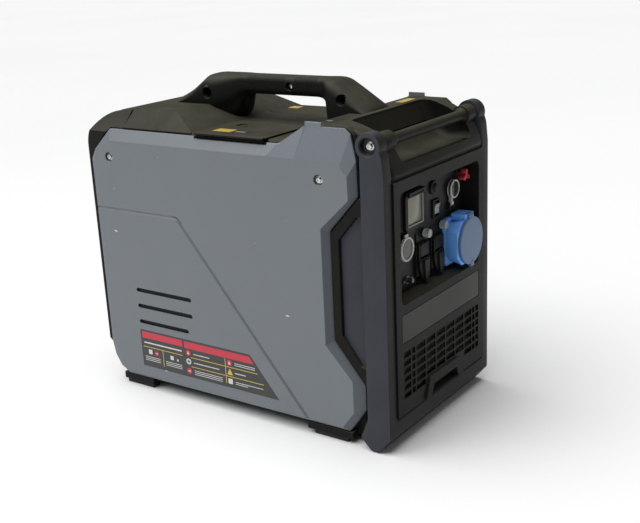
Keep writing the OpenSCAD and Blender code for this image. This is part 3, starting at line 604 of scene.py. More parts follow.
def loft(rings):
    """A closed skin over rings of points in metres, each ring joined to the next."""
    mesh = bmesh.new()
    loops = []
    for ring in rings:
        points = [mesh.verts.new(place) for place in ring]
        loops.append([mesh.edges.new(pair) for pair in zip(points, points[1:] + points[:1])])
    for one, other in zip(loops, loops[1:]):
        bmesh.ops.bridge_loops(mesh, edges=one + other)
    for end in (loops[0], loops[-1]):
        bmesh.ops.contextual_create(mesh, geom=end)
    bmesh.ops.recalc_face_normals(mesh, faces=mesh.faces)
    return mesh


print("helpers: prism, block, drum, lathe, loft")

# %% [markdown]
# Cutting and joining are boolean modifiers, settled at once, so that a bmesh goes in and a bmesh
# comes out. The last radius on a piece is a live Bevel modifier. Where a small face has no room for
# that radius, only marked edges are rounded.

# %% Cutting, joining and rounding


def as_object(mesh, name="tool"):
    """A bmesh as an object in the scene."""
    data = bpy.data.meshes.new(name)
    mesh.to_mesh(data)
    mesh.free()
    made = bpy.data.objects.new(name, data)
    bpy.context.scene.collection.objects.link(made)
    return made


def settle(thing):
    """The mesh that an object's modifiers make, as a bmesh; the object goes away."""
    bpy.context.view_layer.update()
    shaped = bpy.data.meshes.new_from_object(thing.evaluated_get(bpy.context.evaluated_depsgraph_get()))
    mesh = bmesh.new()
    mesh.from_mesh(shaped)
    data = thing.data
    bpy.data.objects.remove(thing)
    bpy.data.meshes.remove(data)
    bpy.data.meshes.remove(shaped)
    return mesh


def put_in_order(mesh):
    """Sorts a bmesh by place along a slanting line. A boolean hands its faces back in any order,
    and what follows would otherwise come out a little different in each run."""
    slant = Vector((1.0, 0.7549, 0.5698))
    mesh.verts.sort(key=lambda vert: vert.co.dot(slant))
    mesh.edges.sort(key=lambda edge: (edge.verts[0].co + edge.verts[1].co).dot(slant))
    mesh.faces.sort(key=lambda face: face.calc_center_median().dot(slant))
    for parts in (mesh.verts, mesh.edges, mesh.faces):
        parts.index_update()


def combine(operation, base, *tools):
    """Cuts tools out of a base, or joins them to it, and tidies the faces that result."""
    mesh = base
    for tool in tools:
        cutter = as_object(tool)
        body = as_object(mesh)
        step = body.modifiers.new(operation, "BOOLEAN")
        step.operation = operation
        step.solver = "EXACT"
        step.object = cutter
        mesh = settle(body)
        put_in_order(mesh)
        data = cutter.data
        bpy.data.objects.remove(cutter)
        bpy.data.meshes.remove(data)
    bmesh.ops.remove_doubles(mesh, verts=mesh.verts, dist=WELD)
    bmesh.ops.dissolve_limit(mesh, angle_limit=math.radians(0.2), verts=mesh.verts, edges=mesh.edges)
    put_in_order(mesh)
    return mesh


def cut(base, *tools):
    """Takes tools out of a base."""
    return combine("DIFFERENCE", base, *tools)


def fuse(base, *tools):
    """Joins solids to a base."""
    return combine("UNION", base, *tools)


def gather(*meshes):
    """Several separate solids as one bmesh."""
    whole = bmesh.new()
    for mesh in meshes:
        data = bpy.data.meshes.new("part")
        mesh.to_mesh(data)
        mesh.free()
        whole.from_mesh(data)
        bpy.data.meshes.remove(data)
    return whole


def round_edges(mesh, radius, segments=4, sharp=30, keep=None):
    """Rounds the sharp edges of a bmesh, or those of them that keep() picks."""
    chosen = [edge for edge in mesh.edges if len(edge.link_faces) == 2
              and edge.calc_face_angle() > math.radians(sharp) and (keep is None or keep(edge))]
    bmesh.ops.bevel(mesh, geom=chosen, affect="EDGES", offset=radius * MM, segments=segments,
                    profile=0.5, material=-1, clamp_overlap=True)
    bmesh.ops.remove_doubles(mesh, verts=mesh.verts, dist=WELD)
    for vert in mesh.verts:
        vert.co = [round(value, SNAP_DIGITS) for value in vert.co]
    put_in_order(mesh)
    return mesh


def mark_edges(mesh, sharp, wanted):
    """Marks the sharp edges that the rounding modifier takes, where wanted() agrees to the middle."""
    weight = mesh.edges.layers.float.new("bevel_weight_edge")
    for edge in mesh.edges:
        bent = len(edge.link_faces) == 2 and edge.calc_face_angle() > math.radians(sharp)
        edge[weight] = float(bent and wanted((edge.verts[0].co + edge.verts[1].co) / 2))


def mirrored(mesh):
    """The same shape for the other side of the set."""
    bmesh.ops.scale(mesh, vec=(-1, 1, 1), verts=mesh.verts)
    bmesh.ops.reverse_faces(mesh, faces=mesh.faces)
    return mesh


def make_piece(mesh, name, slot, body, replaced, radius=0.0, segments=3, sharp=30, finish=None,
               marked=False):
    """Turns a bmesh into a finished piece: smooth faces, rounded edges, finish and body.

    The radius is in millimetres. It goes to edges sharper than `sharp` degrees, or to the marked
    edges only. The finish is the slot's own unless another is named.
    """
    for face in mesh.faces:
        face.smooth = True
    piece = as_object(mesh, name)
    piece.data.set_sharp_from_angle(angle=math.radians(sharp))
    piece.data.materials.append(FINISH[finish or slot])
    if radius:
        rounding = piece.modifiers.new("rounded_edges", "BEVEL")
        rounding.width = radius * MM
        rounding.segments = segments
        rounding.limit_method = "WEIGHT" if marked else "ANGLE"
        rounding.angle_limit = math.radians(sharp)
        rounding.use_clamp_overlap = False
        rounding.harden_normals = True
    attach(piece, body)
    if replaced:
        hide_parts(*replaced)
    return piece


def copy_part(node):
    """A bmesh of an engineering part with its triangles joined into whole faces again."""
    mesh = bmesh.new()
    mesh.from_mesh(frame["nodes"][node].data)
    bmesh.ops.remove_doubles(mesh, verts=mesh.verts, dist=WELD)
    bmesh.ops.dissolve_limit(mesh, angle_limit=math.radians(0.5), verts=mesh.verts, edges=mesh.edges)
    return mesh


print("helpers: cut, fuse, gather, round_edges, make_piece, copy_part")

# %% [markdown]
# ## Side panels
# Each side is one big moulding. Its face is flat, and facets fall away from a crease towards the
# edges, steep at the top and wide towards the front, where the panel rises into an ear. The facets
# are made as a skin over three rings: the crease, the outer edge further back, and the rim. The
# groove, the air slots and the bolt pockets are then milled out of that blank.

# %% Side panels
# Each row: the outer edge's place from the panel's lowest corner, the crease's place, and how far
# the outer edge lies behind the face.
PANEL_EDGE = [
    ((574, 57), (569, 59), 4), ((574, 417), (569, 415), 4), ((566, 435), (559, 432), 6),
    ((529, 473), (522, 453), 11), ((151, 473), (171, 453), 12), ((98, 505), (113, 453), 13),
    ((23, 505), (41, 453), 13), ((13, 497), (28, 448), 12), ((2, 457), (15, 432), 9),
    ((2, 401), (14, 396), 11), ((56, 340), (68, 345), 11), ((56, 155), (68, 148), 11),
    ((0, 88), (18, 94), 12), ((0, 43), (18, 38), 12), ((31, 0), (41, 7), 8),
    ((535, 0), (533, 5), 4), ((556, 11), (552, 15), 4), ((569, 32), (564, 35), 4),
]
PANEL_HOLLOW = [
    (563, 61), (563, 413), (525, 445), (49, 445), (27, 433), (25, 403), (67, 349), (67, 149),
    (23, 81), (23, 43), (43, 13), (531, 13), (553, 27),
]
GROOVE_PATH = [(585, 327), (381, 327), (375, 326), (369, 321), (107, 2), (98, -10)]
GROOVE_DEPTH = 2.7
SLOTS = [(424, 177, 134), (424, 146, 134), (430, 115, 122)]     # middle and length of each air slot
SLOT_HEIGHT = 8
HEAD = 6.5                      # radius of a panel bolt's head
WALL = 3.5
DECAL = [(229.5, 122.5), (-32.5, 122.5), (-93, 49), (228.5, 49)]      # outline of the safety decal
DECAL_POCKET = 0.5
TAB = (-197, -165)                                                   # where the rear catch shows


def groove_bit(low, first, last):
    """A V-shaped milling bit run from one point of the panel's face to another."""
    start, end = (Vector((low.x, low.y + y, low.z + z)) for y, z in (first, last))
    run = (end - start).normalized()
    side = run.cross(Vector((1, 0, 0)))
    mesh = bmesh.new()
    tip, above = Vector((GROOVE_DEPTH, 0, 0)), Vector((-0.5, 0, 0))
    section = [start - run + offset for offset in (above + side * 3.6, tip, above - side * 5.2)]
    mesh.faces.new([mesh.verts.new(place * MM) for place in section])
    pushed = bmesh.ops.extrude_face_region(mesh, geom=mesh.faces[:])["geom"]
    bmesh.ops.translate(mesh, vec=(end - start + 2 * run) * MM,
                        verts=[v for v in pushed if isinstance(v, bmesh.types.BMVert)])
    bmesh.ops.recalc_face_normals(mesh, faces=mesh.faces)
    return mesh


def side_panel(with_decal):
    """The left panel as a bmesh, with or without the pocket for the decal."""
    low, high = box_mm("left_panel")
    bolts_low, bolts_high = box_mm("panel_bolts")
    blank = loft([
        [spot("X", low.x, low.y + y, low.z + z) for outer, (y, z), depth in PANEL_EDGE],
        [spot("X", low.x + depth, low.y + y, low.z + z) for (y, z), crease, depth in PANEL_EDGE],
        [spot("X", high.x, low.y + y, low.z + z) for (y, z), crease, depth in PANEL_EDGE],
    ])
    hollow = prism([(low.y + y, low.z + z) for y, z in PANEL_HOLLOW], "X", low.x + WALL, high.x + 3)
    bolts = [(y, (bolts_low.z + bolts_high.z) / 2) for y in (bolts_low.y + HEAD, bolts_high.y - HEAD)]
    posts = [drum("X", y, z, low.x + 2, high.x, 13) for y, z in bolts]
    lid_low, lid_high = box_mm("fuel_lid")
    cover_front = box_mm("rear_cover")[0].y
    tools = [
        block((high.x - 7, low.y - 1, low.z + 440), (high.x + 3, cover_front + 0.5, high.z + 12)),
        block((low.x - 5, lid_low.y - 3, lid_low.z - 5.5), (high.x + 3, lid_high.y + 3, lid_high.z)),
    ]
    tools += [groove_bit(low, a, b) for a, b in zip(GROOVE_PATH, GROOVE_PATH[1:])]
    tools += [prism(rectangle(low.y + y, low.z + z, length, SLOT_HEIGHT), "X", low.x - 2, low.x + 9,
                    round_by=SLOT_HEIGHT / 2 - 0.1) for y, z, length in SLOTS]
    for y, z in bolts:
        tools += [drum("X", y, z, low.x - 1, low.x + 5, 8.5), drum("X", y, z, low.x - 1, high.x + 1, 3.5)]
    if with_decal:
        tools.append(prism(DECAL, "X", low.x - 2, low.x + DECAL_POCKET, round_by=3))
    tab = block((low.x + 12.5, TAB[0], high.z - 12), (low.x + 20, TAB[1], high.z + 6.5))
    panel = cut(fuse(cut(blank, hollow), round_edges(tab, 1.5, 3), *posts), *tools)
    groove_foot = Vector((low.x, low.y + GROOVE_PATH[-2][0], low.z + GROOVE_PATH[-2][1])) * MM
    pocket_low, pocket_high = DECAL[2][0] - 1, DECAL[0][0] + 1

    def room_for_a_radius(place):
        on_decal = pocket_low * MM < place.y < pocket_high * MM and place.z < (DECAL[0][1] + 1) * MM
        return (place - groove_foot).length > 28 * MM and not (on_decal and place.x < (low.x + 1) * MM)

    mark_edges(panel, 9, room_for_a_radius)
    return panel


for name, shape in (("left_panel", side_panel(True)), ("right_panel", mirrored(side_panel(False)))):
    panel = make_piece(shape, name + "_moulded", SLOT_OF[name], "case", [name], radius=0.9, sharp=9,
                       marked=True)
    print(panel.name, len(panel.data.polygons), "faces")

# %% [markdown]
# ## Bumper frame
# The slate frame in front of the controls takes the knocks. Its columns have generous radii all
# round and end in a round boss, where a bolt ties the frame to the cover. A low bar joins the two
# feet. The big radii are cut first, and the bolt pockets are cut afterwards, each with a short flare
# at its mouth.

# %% Bumper frame
FOOT = [(0, 26), (22, 0), (37, 0), (56, 20)]
COLUMN = FOOT + [(42, 54), (42, 498), (27, 503), (10, 506), (3, 486), (0, 453)]
CROSSBAR = FOOT + [(42, 44), (34, 53), (0, 53)]
COLUMN_WIDTH = 22.5
BOSS_RADIUS = 21.5
POCKET_RADII = (12.5, 14.8)      # at the seat and at the mouth
FLARE_RADII = (14.6, 17.2)       # of the short flare at the very mouth
bolt_low, bolt_high = box_mm("frame_bolts")
BOSS = ((bolt_low.y + bolt_high.y) / 2, (bolt_low.z + bolt_high.z) / 2)


def bumper_column(low, side):
    """One column with its boss, for the left (-1) or right (1) side."""
    outer = side * abs(low.x)
    start, end = sorted((outer, outer - side * COLUMN_WIDTH))
    column = prism([(low.y + y, low.z + z) for y, z in COLUMN], "X", start, end, round_by=3, segments=3)
    boss = drum("X", BOSS[0], BOSS[1], start, end, BOSS_RADIUS, sides=64)
    return round_edges(fuse(column, boss), 5, 5, sharp=50)


def bumper_frame():
    """The whole frame as a bmesh."""
    low, high = box_mm("front_frame")
    bar = prism([(low.y + y, low.z + z) for y, z in CROSSBAR], "X", low.x + COLUMN_WIDTH - 6,
                high.x - COLUMN_WIDTH + 6)
    whole = fuse(bumper_column(low, -1), bumper_column(low, 1), round_edges(bar, 5, 4, sharp=30))
    pockets = []
    for side in (-1, 1):
        mouth, seat = side * (high.x + 1), side * (high.x - 10)
        start, end = sorted((mouth, seat))
        pockets.append(drum("X", *BOSS, start, end, *POCKET_RADII[::side]))
        flare = sorted((mouth, side * (high.x - 1.2)))
        pockets.append(drum("X", *BOSS, *flare, *FLARE_RADII[::side]))
        pockets.append(drum("X", *BOSS, *sorted((mouth, side * 140)), 4.5))
    whole = cut(whole, *pockets)
    for vert in whole.verts:
        vert.co.x = max(low.x * MM, min(high.x * MM, vert.co.x))
    return whole


frame_piece = make_piece(bumper_frame(), "bumper_frame", "slate_plastic", "case", ["front_frame"],
                         sharp=35)
print(frame_piece.name, len(frame_piece.data.polygons), "faces")

# %% [markdown]
# ## Carry handle
# The handle is two mirror-image mouldings bolted together. A box cage of eight-sided rings follows
# it from the long rear ramp over the leg, along the grip and down the front leg, and a subdivision
# surface draws the smooth skin over that cage. Creases hold the flat seam between the halves. The
# grip's faces are then dimpled one by one, as the tool that textures a real grip does.

# %% Carry handle
# Each ring: where its top and its foot lie along the handle, the height of its top, its half width,
# how low its side face comes, the half width and height of its foot, and its underside. All are
# measured from the handle's lowest front corner.
FRONT_LEG = [
    (-4, -4, 31, 41.5, 29, 41, 27, 20), (12, 12, 42, 42, 26, 41.5, 22, 12),
    (34, 34, 56, 42, 20, 41.5, 16, 6), (57, 57, 70.5, 42, 10, 41.5, 5, 0),
    (66, 66, 75.5, 42, 8, 41.5, 3, 0), (72, 71, 78, 41.5, 9, 40, 3, 0),
    (80, 78, 79, 39, 12, 36, 4, 0), (88, 82, 79, 32, 34, 25, 22, 2),
    (95, 91, 79, 25.5, 49, 18, 42, 38),
]
REAR_LEG = [
    (268, 272, 79, 25, 50, 18, 43, 38), (282, 279, 79, 29, 44, 24, 34, 2),
    (305, 300, 79, 37, 34, 29, 20, 0), (326, 320, 79, 42, 27, 34, 16, 0),
    (337, 334, 79, 42, 24, 36, 14, 0), (343, 342, 77.5, 42, 24, 37, 14, 0),
    (350, 350, 72.5, 42, 24, 37, 14, 2), (379, 379, 51.5, 42, 24, 38, 16, 6),
    (405, 405, 39.5, 42, 25, 40, 20, 12), (424, 424, 31.5, 42, 26.5, 41.5, 24, 20),
    (436, 436, 27.6, 41.5, 26.6, 41.5, 25.5, 22),
]
GRIP = (79, 22.5, 53, 15, 47.5, 45.5)
GRIP_START, GRIP_END, GRIP_RINGS = 103, 262, 11
TOP_BENDS = (66, 343)   # rings at which the top line bends, kept crisper by a crease
TOP_CORNER = 6
TOP_STRIP = 24          # half width of the flat strip that runs along the top
SEAM = 0.15             # half the gap between the two halves
# Each bolt: along, up, radius of its hole, how far its seat lies from the middle.
HANDLE_BOLTS = [(48, 47, 9, 20), (166, 62, 7, 13), (336, 47, 10, 20)]


def handle_ring(origin, ring):
    """One ring of the cage for the right half."""
    top_y, foot_y, top, wide, side_bottom, foot, foot_top, bottom = ring
    strip = min(wide - TOP_CORNER, TOP_STRIP)
    shoulder = top - TOP_CORNER - (wide - TOP_CORNER - strip) * 0.35
    corners = [(SEAM, foot_y, bottom), (SEAM, top_y, top), (strip, top_y, top), (wide, top_y, shoulder),
               (wide, (top_y + foot_y) / 2, (shoulder + side_bottom) / 2),
               (wide, foot_y, side_bottom), (foot, foot_y, foot_top), (foot, foot_y, bottom)]
    return [Vector((x, origin.y + y, origin.z + z)) * MM for x, y, z in corners]


def handle_skin(origin):
    """The smooth skin of the right half."""
    grip = [(y, y, *GRIP) for y in (GRIP_START + (GRIP_END - GRIP_START) * i / (GRIP_RINGS - 1)
                                    for i in range(GRIP_RINGS))]
    cage = loft([handle_ring(origin, ring) for ring in FRONT_LEG + grip + REAR_LEG])
    crease = cage.edges.layers.float.new("crease_edge")
    for edge in cage.edges:
        edge[crease] = float(all(abs(v.co.x - SEAM * MM) < WELD for v in edge.verts))
        for bend in TOP_BENDS:
            if all(abs(v.co.y - (origin.y + bend) * MM) < 1.5 * MM for v in edge.verts):
                edge[crease] = max(edge[crease], 0.55)
    smooth = as_object(cage, "cage")
    skin = smooth.modifiers.new("skin", "SUBSURF")
    skin.levels = skin.render_levels = 2
    return settle(smooth)


def dimple_grip(mesh, origin):
    """Presses a small pit into every face on the side of the grip, clear of the bolt."""
    start, end = (origin.y + GRIP_START + 4) * MM, (origin.y + GRIP_END - 4) * MM
    bolt = (origin.y + HANDLE_BOLTS[1][0]) * MM
    chosen = []
    for face in mesh.faces:
        middle = face.calc_center_median()
        if start < middle.y < end and face.normal.x > 0.35 and abs(middle.y - bolt) > 10 * MM:
            chosen.append(face)
    bmesh.ops.inset_individual(mesh, faces=chosen, thickness=0.55 * MM, depth=0)
    for face in chosen:
        bmesh.ops.scale(mesh, vec=(1, 0.6, 0.75), space=Matrix.Translation(-face.calc_center_median()),
                        verts=face.verts)
    bmesh.ops.inset_individual(mesh, faces=chosen, thickness=0.1 * MM, depth=-1.2 * MM)
    print("dimples on one half of the grip:", len(chosen))


def handle_half():
    """The right half of the handle as a bmesh."""
    origin = box_mm("handle_right")[0]
    mesh = handle_skin(origin)
    holes = [drum("X", origin.y + y, origin.z + z, seat, 60, radius) for y, z, radius, seat in HANDLE_BOLTS]
    holes += [drum("X", origin.y + y, origin.z + z, -5, 60, 4, sides=24) for y, z, *rest in HANDLE_BOLTS]
    dimple_grip(mesh, origin)
    mesh = cut(mesh, *holes)

    def at_a_hole(place):
        return any(math.hypot(place.y - (origin.y + y) * MM, place.z - (origin.z + z) * MM)
                   < (radius + 1.5) * MM for y, z, radius, seat in HANDLE_BOLTS)

    mark_edges(mesh, 42, at_a_hole)
    return mesh


for name, shape in (("handle_right", handle_half()), ("handle_left", mirrored(handle_half()))):
    half = make_piece(shape, name + "_moulded", "black_plastic", "case", [name], radius=0.8, sharp=42,
                      marked=True)
    print(half.name, len(half.data.polygons), "faces")

# %% [markdown]
# ## Top cover
# The cover is one deep moulding: a flat deck under the handle, a raised crown behind it, a ridge in
# front of it and, at the very front, a scoop for the fingers that reach round the grab bar. The
# scoop's tool has large radii in its corners before it cuts, so the pocket comes out soft like the
# inside of a bowl.

# %% Top cover
# Side views, measured from the cover's front edge and its lowest height.
FRONT_CROWN = [(117, 41), (117, 83), (81, 81), (53, 71), (29, 59), (13, 41), (4, 21), (0, 0), (77, 0)]
RIDGE = [(197, 41), (147, 79), (75, 79), (63, 69), (55, 41)]
SCOOP = [(-23, 21), (5, 21), (49, 13), (79, 31), (105, 91), (-23, 111)]
REAR_CROWN = [(392, 11), (392, 51), (455, 81), (563, 81), (563, 11)]
DECK_UP, CROWN_UP, DECK_LOW = 51, 79, 21
CROWN_SLOPE, SCOOP_HALF, FRONT_HALF = 32, 118, 151.5
CAP_WELL_RADIUS, CAP_NECK_RADIUS, CAP_POST_RADIUS = 36.5, 24, 40
low, high = box_mm("grab_bar")
BAR_AXIS = ((low.y + high.y) / 2, (low.z + high.z) / 2)
BAR_CHEEK = 16                  # radius of the round cheeks at the ends of the bar
# The seam in the deck, seen from above, from the far side of the grip to the front.
DECK_SEAM = [(61, 170), (66, 110), (67, 65), (62, 10), (50, -40), (42, -62)]


def top_cover():
    """The cover as a bmesh."""
    low, high = box_mm("top_cover")
    half, front, rear, base = high.x, low.y, high.y, low.z
    deck, crown = base + DECK_UP, base + CROWN_UP

    def side_view(outline):
        """An outline of the cover's side, brought to its place."""
        return [(front + y, base + z) for y, z in outline]

    front_piece = prism(side_view(FRONT_CROWN), "X", -FRONT_HALF, FRONT_HALF)
    ridge = prism(side_view(RIDGE), "X", -half, half)
    floor_plate = prism([(-half, base + DECK_LOW), (-half, deck - 4), (-half + 4, deck), (half - 4, deck),
                         (half, deck - 4), (half, base + DECK_LOW)], "Y", front + 55, rear)
    crown_bar = prism([(-half, base + DECK_LOW), (-half, deck - 1), (-half + CROWN_SLOPE, crown),
                       (half - CROWN_SLOPE, crown), (half, deck - 1), (half, base + DECK_LOW)],
                      "Y", front + 392, rear)
    rear_piece = combine("INTERSECT", crown_bar, prism(side_view(REAR_CROWN), "X", -half - 9, half + 9))
    cheeks = [drum("X", *BAR_AXIS, *sorted((side * (SCOOP_HALF - 2), side * (FRONT_HALF - 3))), BAR_CHEEK)
              for side in (-1, 1)]
    lip = block((-147, front + 4.5, base - 11), (147, front + 11, base + 6))
    blank = fuse(floor_plate, round_edges(front_piece, 9, 5, sharp=12), ridge, rear_piece, lip,
                 *[round_edges(cheek, 3, 3) for cheek in cheeks])
    scoop = round_edges(prism(side_view(SCOOP), "X", -SCOOP_HALF, SCOOP_HALF), 16, 6, sharp=15)
    blank = cut(blank, scoop)
    cap_low, cap_high = box_mm("fuel_cap")
    cap = ((cap_low.x + cap_high.x) / 2, (cap_low.y + cap_high.y) / 2)
    lid_low, lid_high = box_mm("fuel_lid")
    blank = cut(blank, block((-half + WALL, front + 80, base - 9), (half - WALL, rear + 5, deck - WALL)),
                block((-half - 9, lid_low.y - 2, deck - 3.5), (lid_high.x + 2, lid_high.y + 2, deck + 10)))
    blank = fuse(blank, drum("Z", *cap, base + 15, deck - 3.2, CAP_POST_RADIUS))
    seam = prism(DECK_SEAM + [(x + 1.4, y) for x, y in reversed(DECK_SEAM)], "Z", deck - 0.8, deck + 3)
    return cut(blank, drum("Z", *cap, base + 19, deck + 9, CAP_WELL_RADIUS),
               drum("Z", *cap, base - 9, deck, CAP_NECK_RADIUS), seam)


cover_piece = make_piece(top_cover(), "top_cover_moulded", "black_plastic", "case", ["top_cover"],
                         radius=0.6, sharp=40)
print(cover_piece.name, len(cover_piece.data.polygons), "faces")

# %% [markdown]
# ## Grab bar
# A turned bar whose ends flare into the walls of the scoop. The profile is drawn once and spun.

# %% Grab bar
low, high = box_mm("grab_bar")
BAR_RADIUS = (high.z - low.z) / 2
flare = [(4.5, 0), (3.2, 1.5), (1.6, 4), (0.6, 8), (0, 14)]
profile = ([(0, low.x)] + [(BAR_RADIUS + out, low.x + along) for out, along in flare]
           + [(BAR_RADIUS + out, high.x - along) for out, along in reversed(flare)] + [(0, high.x)])
bar = make_piece(lathe("X", (low.y + high.y) / 2, (low.z + high.z) / 2, profile), "grab_bar_turned",
                 "black_plastic", "case", ["grab_bar"], sharp=60)
print(bar.name, len(bar.data.polygons), "faces")

# %% [markdown]
# ## Bolts
# All visible screws are zinc-plated hex bolts with a washer. One function makes a bolt: a washer
# turned on the lathe, a six-sided head with its corners taken off, a dimple in the head, a shank.

# %% Bolts


def hex_bolt(side, across, up, seat, tip, radius, shank):
    """A flanged hex bolt along X. It sits at x = seat, and its head points to the given side."""
    top = seat + side * (tip - 0.2)
    washer = lathe("X", across, up, [(0, seat), (radius, seat), (radius, seat + side * 0.9),
                                     (radius * 0.85, seat + side * 1.5), (0, seat + side * 1.5)], steps=40)
    head = drum("X", across, up, *sorted((seat, top)), radius * 0.76, sides=6)
    head = round_edges(head, 0.5, 2, sharp=40)
    dimple = drum("X", across, up, *sorted((top - side * 1.0, top + side)), radius * 0.36, sides=24)
    shaft = drum("X", across, up, *sorted((seat, seat - side * shank)), radius * 0.46, sides=24)
    return gather(washer, cut(head, dimple), shaft)


low, high = box_mm("panel_bolts")
panel_bolt_z = (low.z + high.z) / 2
bolts = gather(*[hex_bolt(side, y, panel_bolt_z, side * 170, 4, HEAD, 17)
                 for side in (-1, 1) for y in (low.y + HEAD, high.y - HEAD)])
make_piece(bolts, "panel_bolts_zinc", "zinc_steel", "case", ["panel_bolts"], sharp=35)
low, high = box_mm("frame_bolts")
bolts = gather(*[hex_bolt(side, *BOSS, side * (high.x - 5), 5, (high.z - low.z) / 2, 12) for side in (-1, 1)])
make_piece(bolts, "frame_bolts_zinc", "zinc_steel", "case", ["frame_bolts"], sharp=35)
origin = box_mm("handle_right")[0]
low, high = box_mm("handle_bolts")
bolts = gather(*[hex_bolt(side, origin.y + y, origin.z + z, side * seat, 3.5, radius * 0.72, seat - 1.5)
                 for y, z, radius, seat in HANDLE_BOLTS for side in (-1, 1)])
make_piece(bolts, "handle_bolts_zinc", "zinc_steel", "case", ["handle_bolts"], sharp=35)
print("bolts made")

# %% [markdown]
# ## Fuel lid and cap
# The lid is a thin plate over the left edge of the deck. A knuckle runs along the hinge and a
# finger notch lets it be lifted.

# %% Fuel lid and cap
low, high = box_mm("fuel_lid")
LID_PLATE = 3.3
plate = prism([(low.x, low.y), (high.x, low.y), (high.x, high.y), (low.x, high.y)], "Z",
              high.z - LID_PLATE, high.z, round_by=4)
knuckle = drum("Y", low.x + 4, high.z - 1, low.y, high.y, 2.5, sides=32)
notch = prism([(high.x - 46, high.y - 24), (high.x - 24, high.y - 24), (high.x - 26, high.y - 39),
               (high.x - 44, high.y - 39)], "Z", high.z - 2, high.z + 4, round_by=5)
lid = cut(fuse(plate, knuckle), notch)
make_piece(lid, "fuel_lid_moulded", "black_plastic", "fuel_lid", ["fuel_lid"], radius=0.6, sharp=35)

low, high = box_mm("fuel_cap")
cap_x, cap_y = (low.x + high.x) / 2, (low.y + high.y) / 2
CAP_RADIUS, GRIP_TEETH = 29, 36
skirt = lathe("Z", cap_x, cap_y, [(0, low.z + 2), (23, low.z + 2), (23, low.z), (CAP_RADIUS, low.z),
                                  (CAP_RADIUS, high.z - 6), (CAP_RADIUS - 2.5, high.z - 4), (0, high.z - 4)])
teeth = [drum("Z", cap_x + (CAP_RADIUS + 0.6) * math.cos(a), cap_y + (CAP_RADIUS + 0.6) * math.sin(a),
              low.z - 1, high.z - 5, 1.3, sides=10)
         for a in (2 * math.pi * i / GRIP_TEETH for i in range(GRIP_TEETH))]
wing = round_edges(block((cap_x - 24, cap_y - 4, high.z - 8), (cap_x + 24, cap_y + 4, high.z)), 2, 3)
cap = fuse(cut(skirt, gather(*teeth)), wing)
make_piece(cap, "fuel_cap_moulded", "black_plastic", "fuel_cap", ["fuel_cap"], radius=0.4, sharp=35)
print("fuel lid and cap made")

# %% [markdown]
# ## Controls
# The controls sit on a fascia in front of the control pan. The fascia is a plate with round holes
# over the wells of the sockets. Everything on it is modelled in front of it, and stays on the axis
# about which it turns or along which it is pressed.

# %% Fascia
FASCIA = -284                   # where the fascia's face stands, along Y
PAN = -272                      # where the face of the pan behind it stands
DC_MIDDLE = (-73, 320)          # middle of the low-voltage socket, across and up
CEE_MIDDLE = (94, 294)          # middle of the industrial socket
WELL_UP, WELL_RADIUS = 286, 19.5        # the wells of the two mains sockets
BEFORE, BEHIND = FASCIA - 2, PAN + 2    # a tool through the fascia starts and ends here


def middle_of(node):
    """Across and up, the middle of a part as seen from the front."""
    low, high = box_mm(node)
    return (low.x + high.x) / 2, (low.z + high.z) / 2


sockets = [middle_of("socket_left"), middle_of("socket_right")]
WELLS = [(x, WELL_UP, WELL_RADIUS) for x, z in sockets]
WELLS += [(*DC_MIDDLE, 14), (*CEE_MIDDLE, 28), (*middle_of("start_button"), 8)]
WELLS += [(*middle_of("breaker_button_" + side), 8.3) for side in ("left", "right")]
WELLS.append((*middle_of("fuel_knob_bezel"), 5.6))
plate = prism(rectangle(0, 336.5, 267, 181), "Y", FASCIA, PAN + 0.5, round_by=11)
rocker_hole = prism(rectangle(*middle_of("eco_switch_frame"), 17, 27), "Y", BEFORE, BEHIND)
arm_slots = [block((x - 18, BEFORE, WELL_UP), (x - 12.5, BEHIND, 334)) for x, z in sockets]
wells = [drum("Y", x, z, BEFORE, BEHIND, radius) for x, z, radius in WELLS]
make_piece(cut(plate, rocker_hole, *arm_slots, *wells), "control_fascia", "control_black", "case", [],
           sharp=35)
print("fascia with", len(wells), "wells")

# %% [markdown]
# ### Display
# The display lies in a housing with taken-off corners. A hood over the top carries a groove, and a
# thin rim inside the window is given a pale tone, a painted highlight where the edge of a screen's
# cover catches the light.

# %% Display
low, high = box_mm("lcd_housing")
right, foot = high.x + 9, low.z - 1
housing = prism([(low.x, foot + 6), (low.x + 6, foot), (right - 6, foot), (right, foot + 6),
                 (right, high.z - 9), (right - 9, high.z), (low.x + 9, high.z), (low.x, high.z - 9)],
                "Y", FASCIA - 5, PAN)
hood = prism([(FASCIA - 1, high.z - 12), (FASCIA - 9, high.z - 9), (FASCIA - 9, high.z - 2.5),
              (FASCIA - 5, high.z)], "X", low.x + 7, right - 7)
window_low = Vector((low.x + 7.5, foot + 7))
window_high = Vector((right - 8, high.z - 12))
window_middle = (window_low + window_high) / 2
window_size = window_high - window_low
opening = block((window_low.x, FASCIA - 9, window_low.y), (window_high.x, FASCIA - 2, window_high.y))
hood_groove = block((window_low.x + 5, FASCIA - 12, high.z - 8),
                    (window_high.x - 5, FASCIA - 7.5, high.z - 4.5))
housing = round_edges(cut(fuse(housing, hood), opening, hood_groove), 0.8, 2, sharp=35)
make_piece(housing, "lcd_housing_moulded", "control_black", "case", ["lcd_housing"])
glass = block((window_low.x + 0.1, FASCIA - 3, window_low.y + 0.1),
              (window_high.x - 0.1, FASCIA - 1.8, window_high.y - 0.1))
make_piece(round_edges(glass, 0.3, 2), "lcd_screen", "display_glass", "case", ["lcd_glass"])
outer = prism(rectangle(*window_middle, window_size.x + 0.6, window_size.y + 0.6),
              "Y", FASCIA - 5.4, FASCIA - 2.4)
inner = prism(rectangle(window_middle.x - 1, window_middle.y + 1, window_size.x - 2.6,
                        window_size.y - 2.6), "Y", FASCIA - 9, FASCIA + 3)
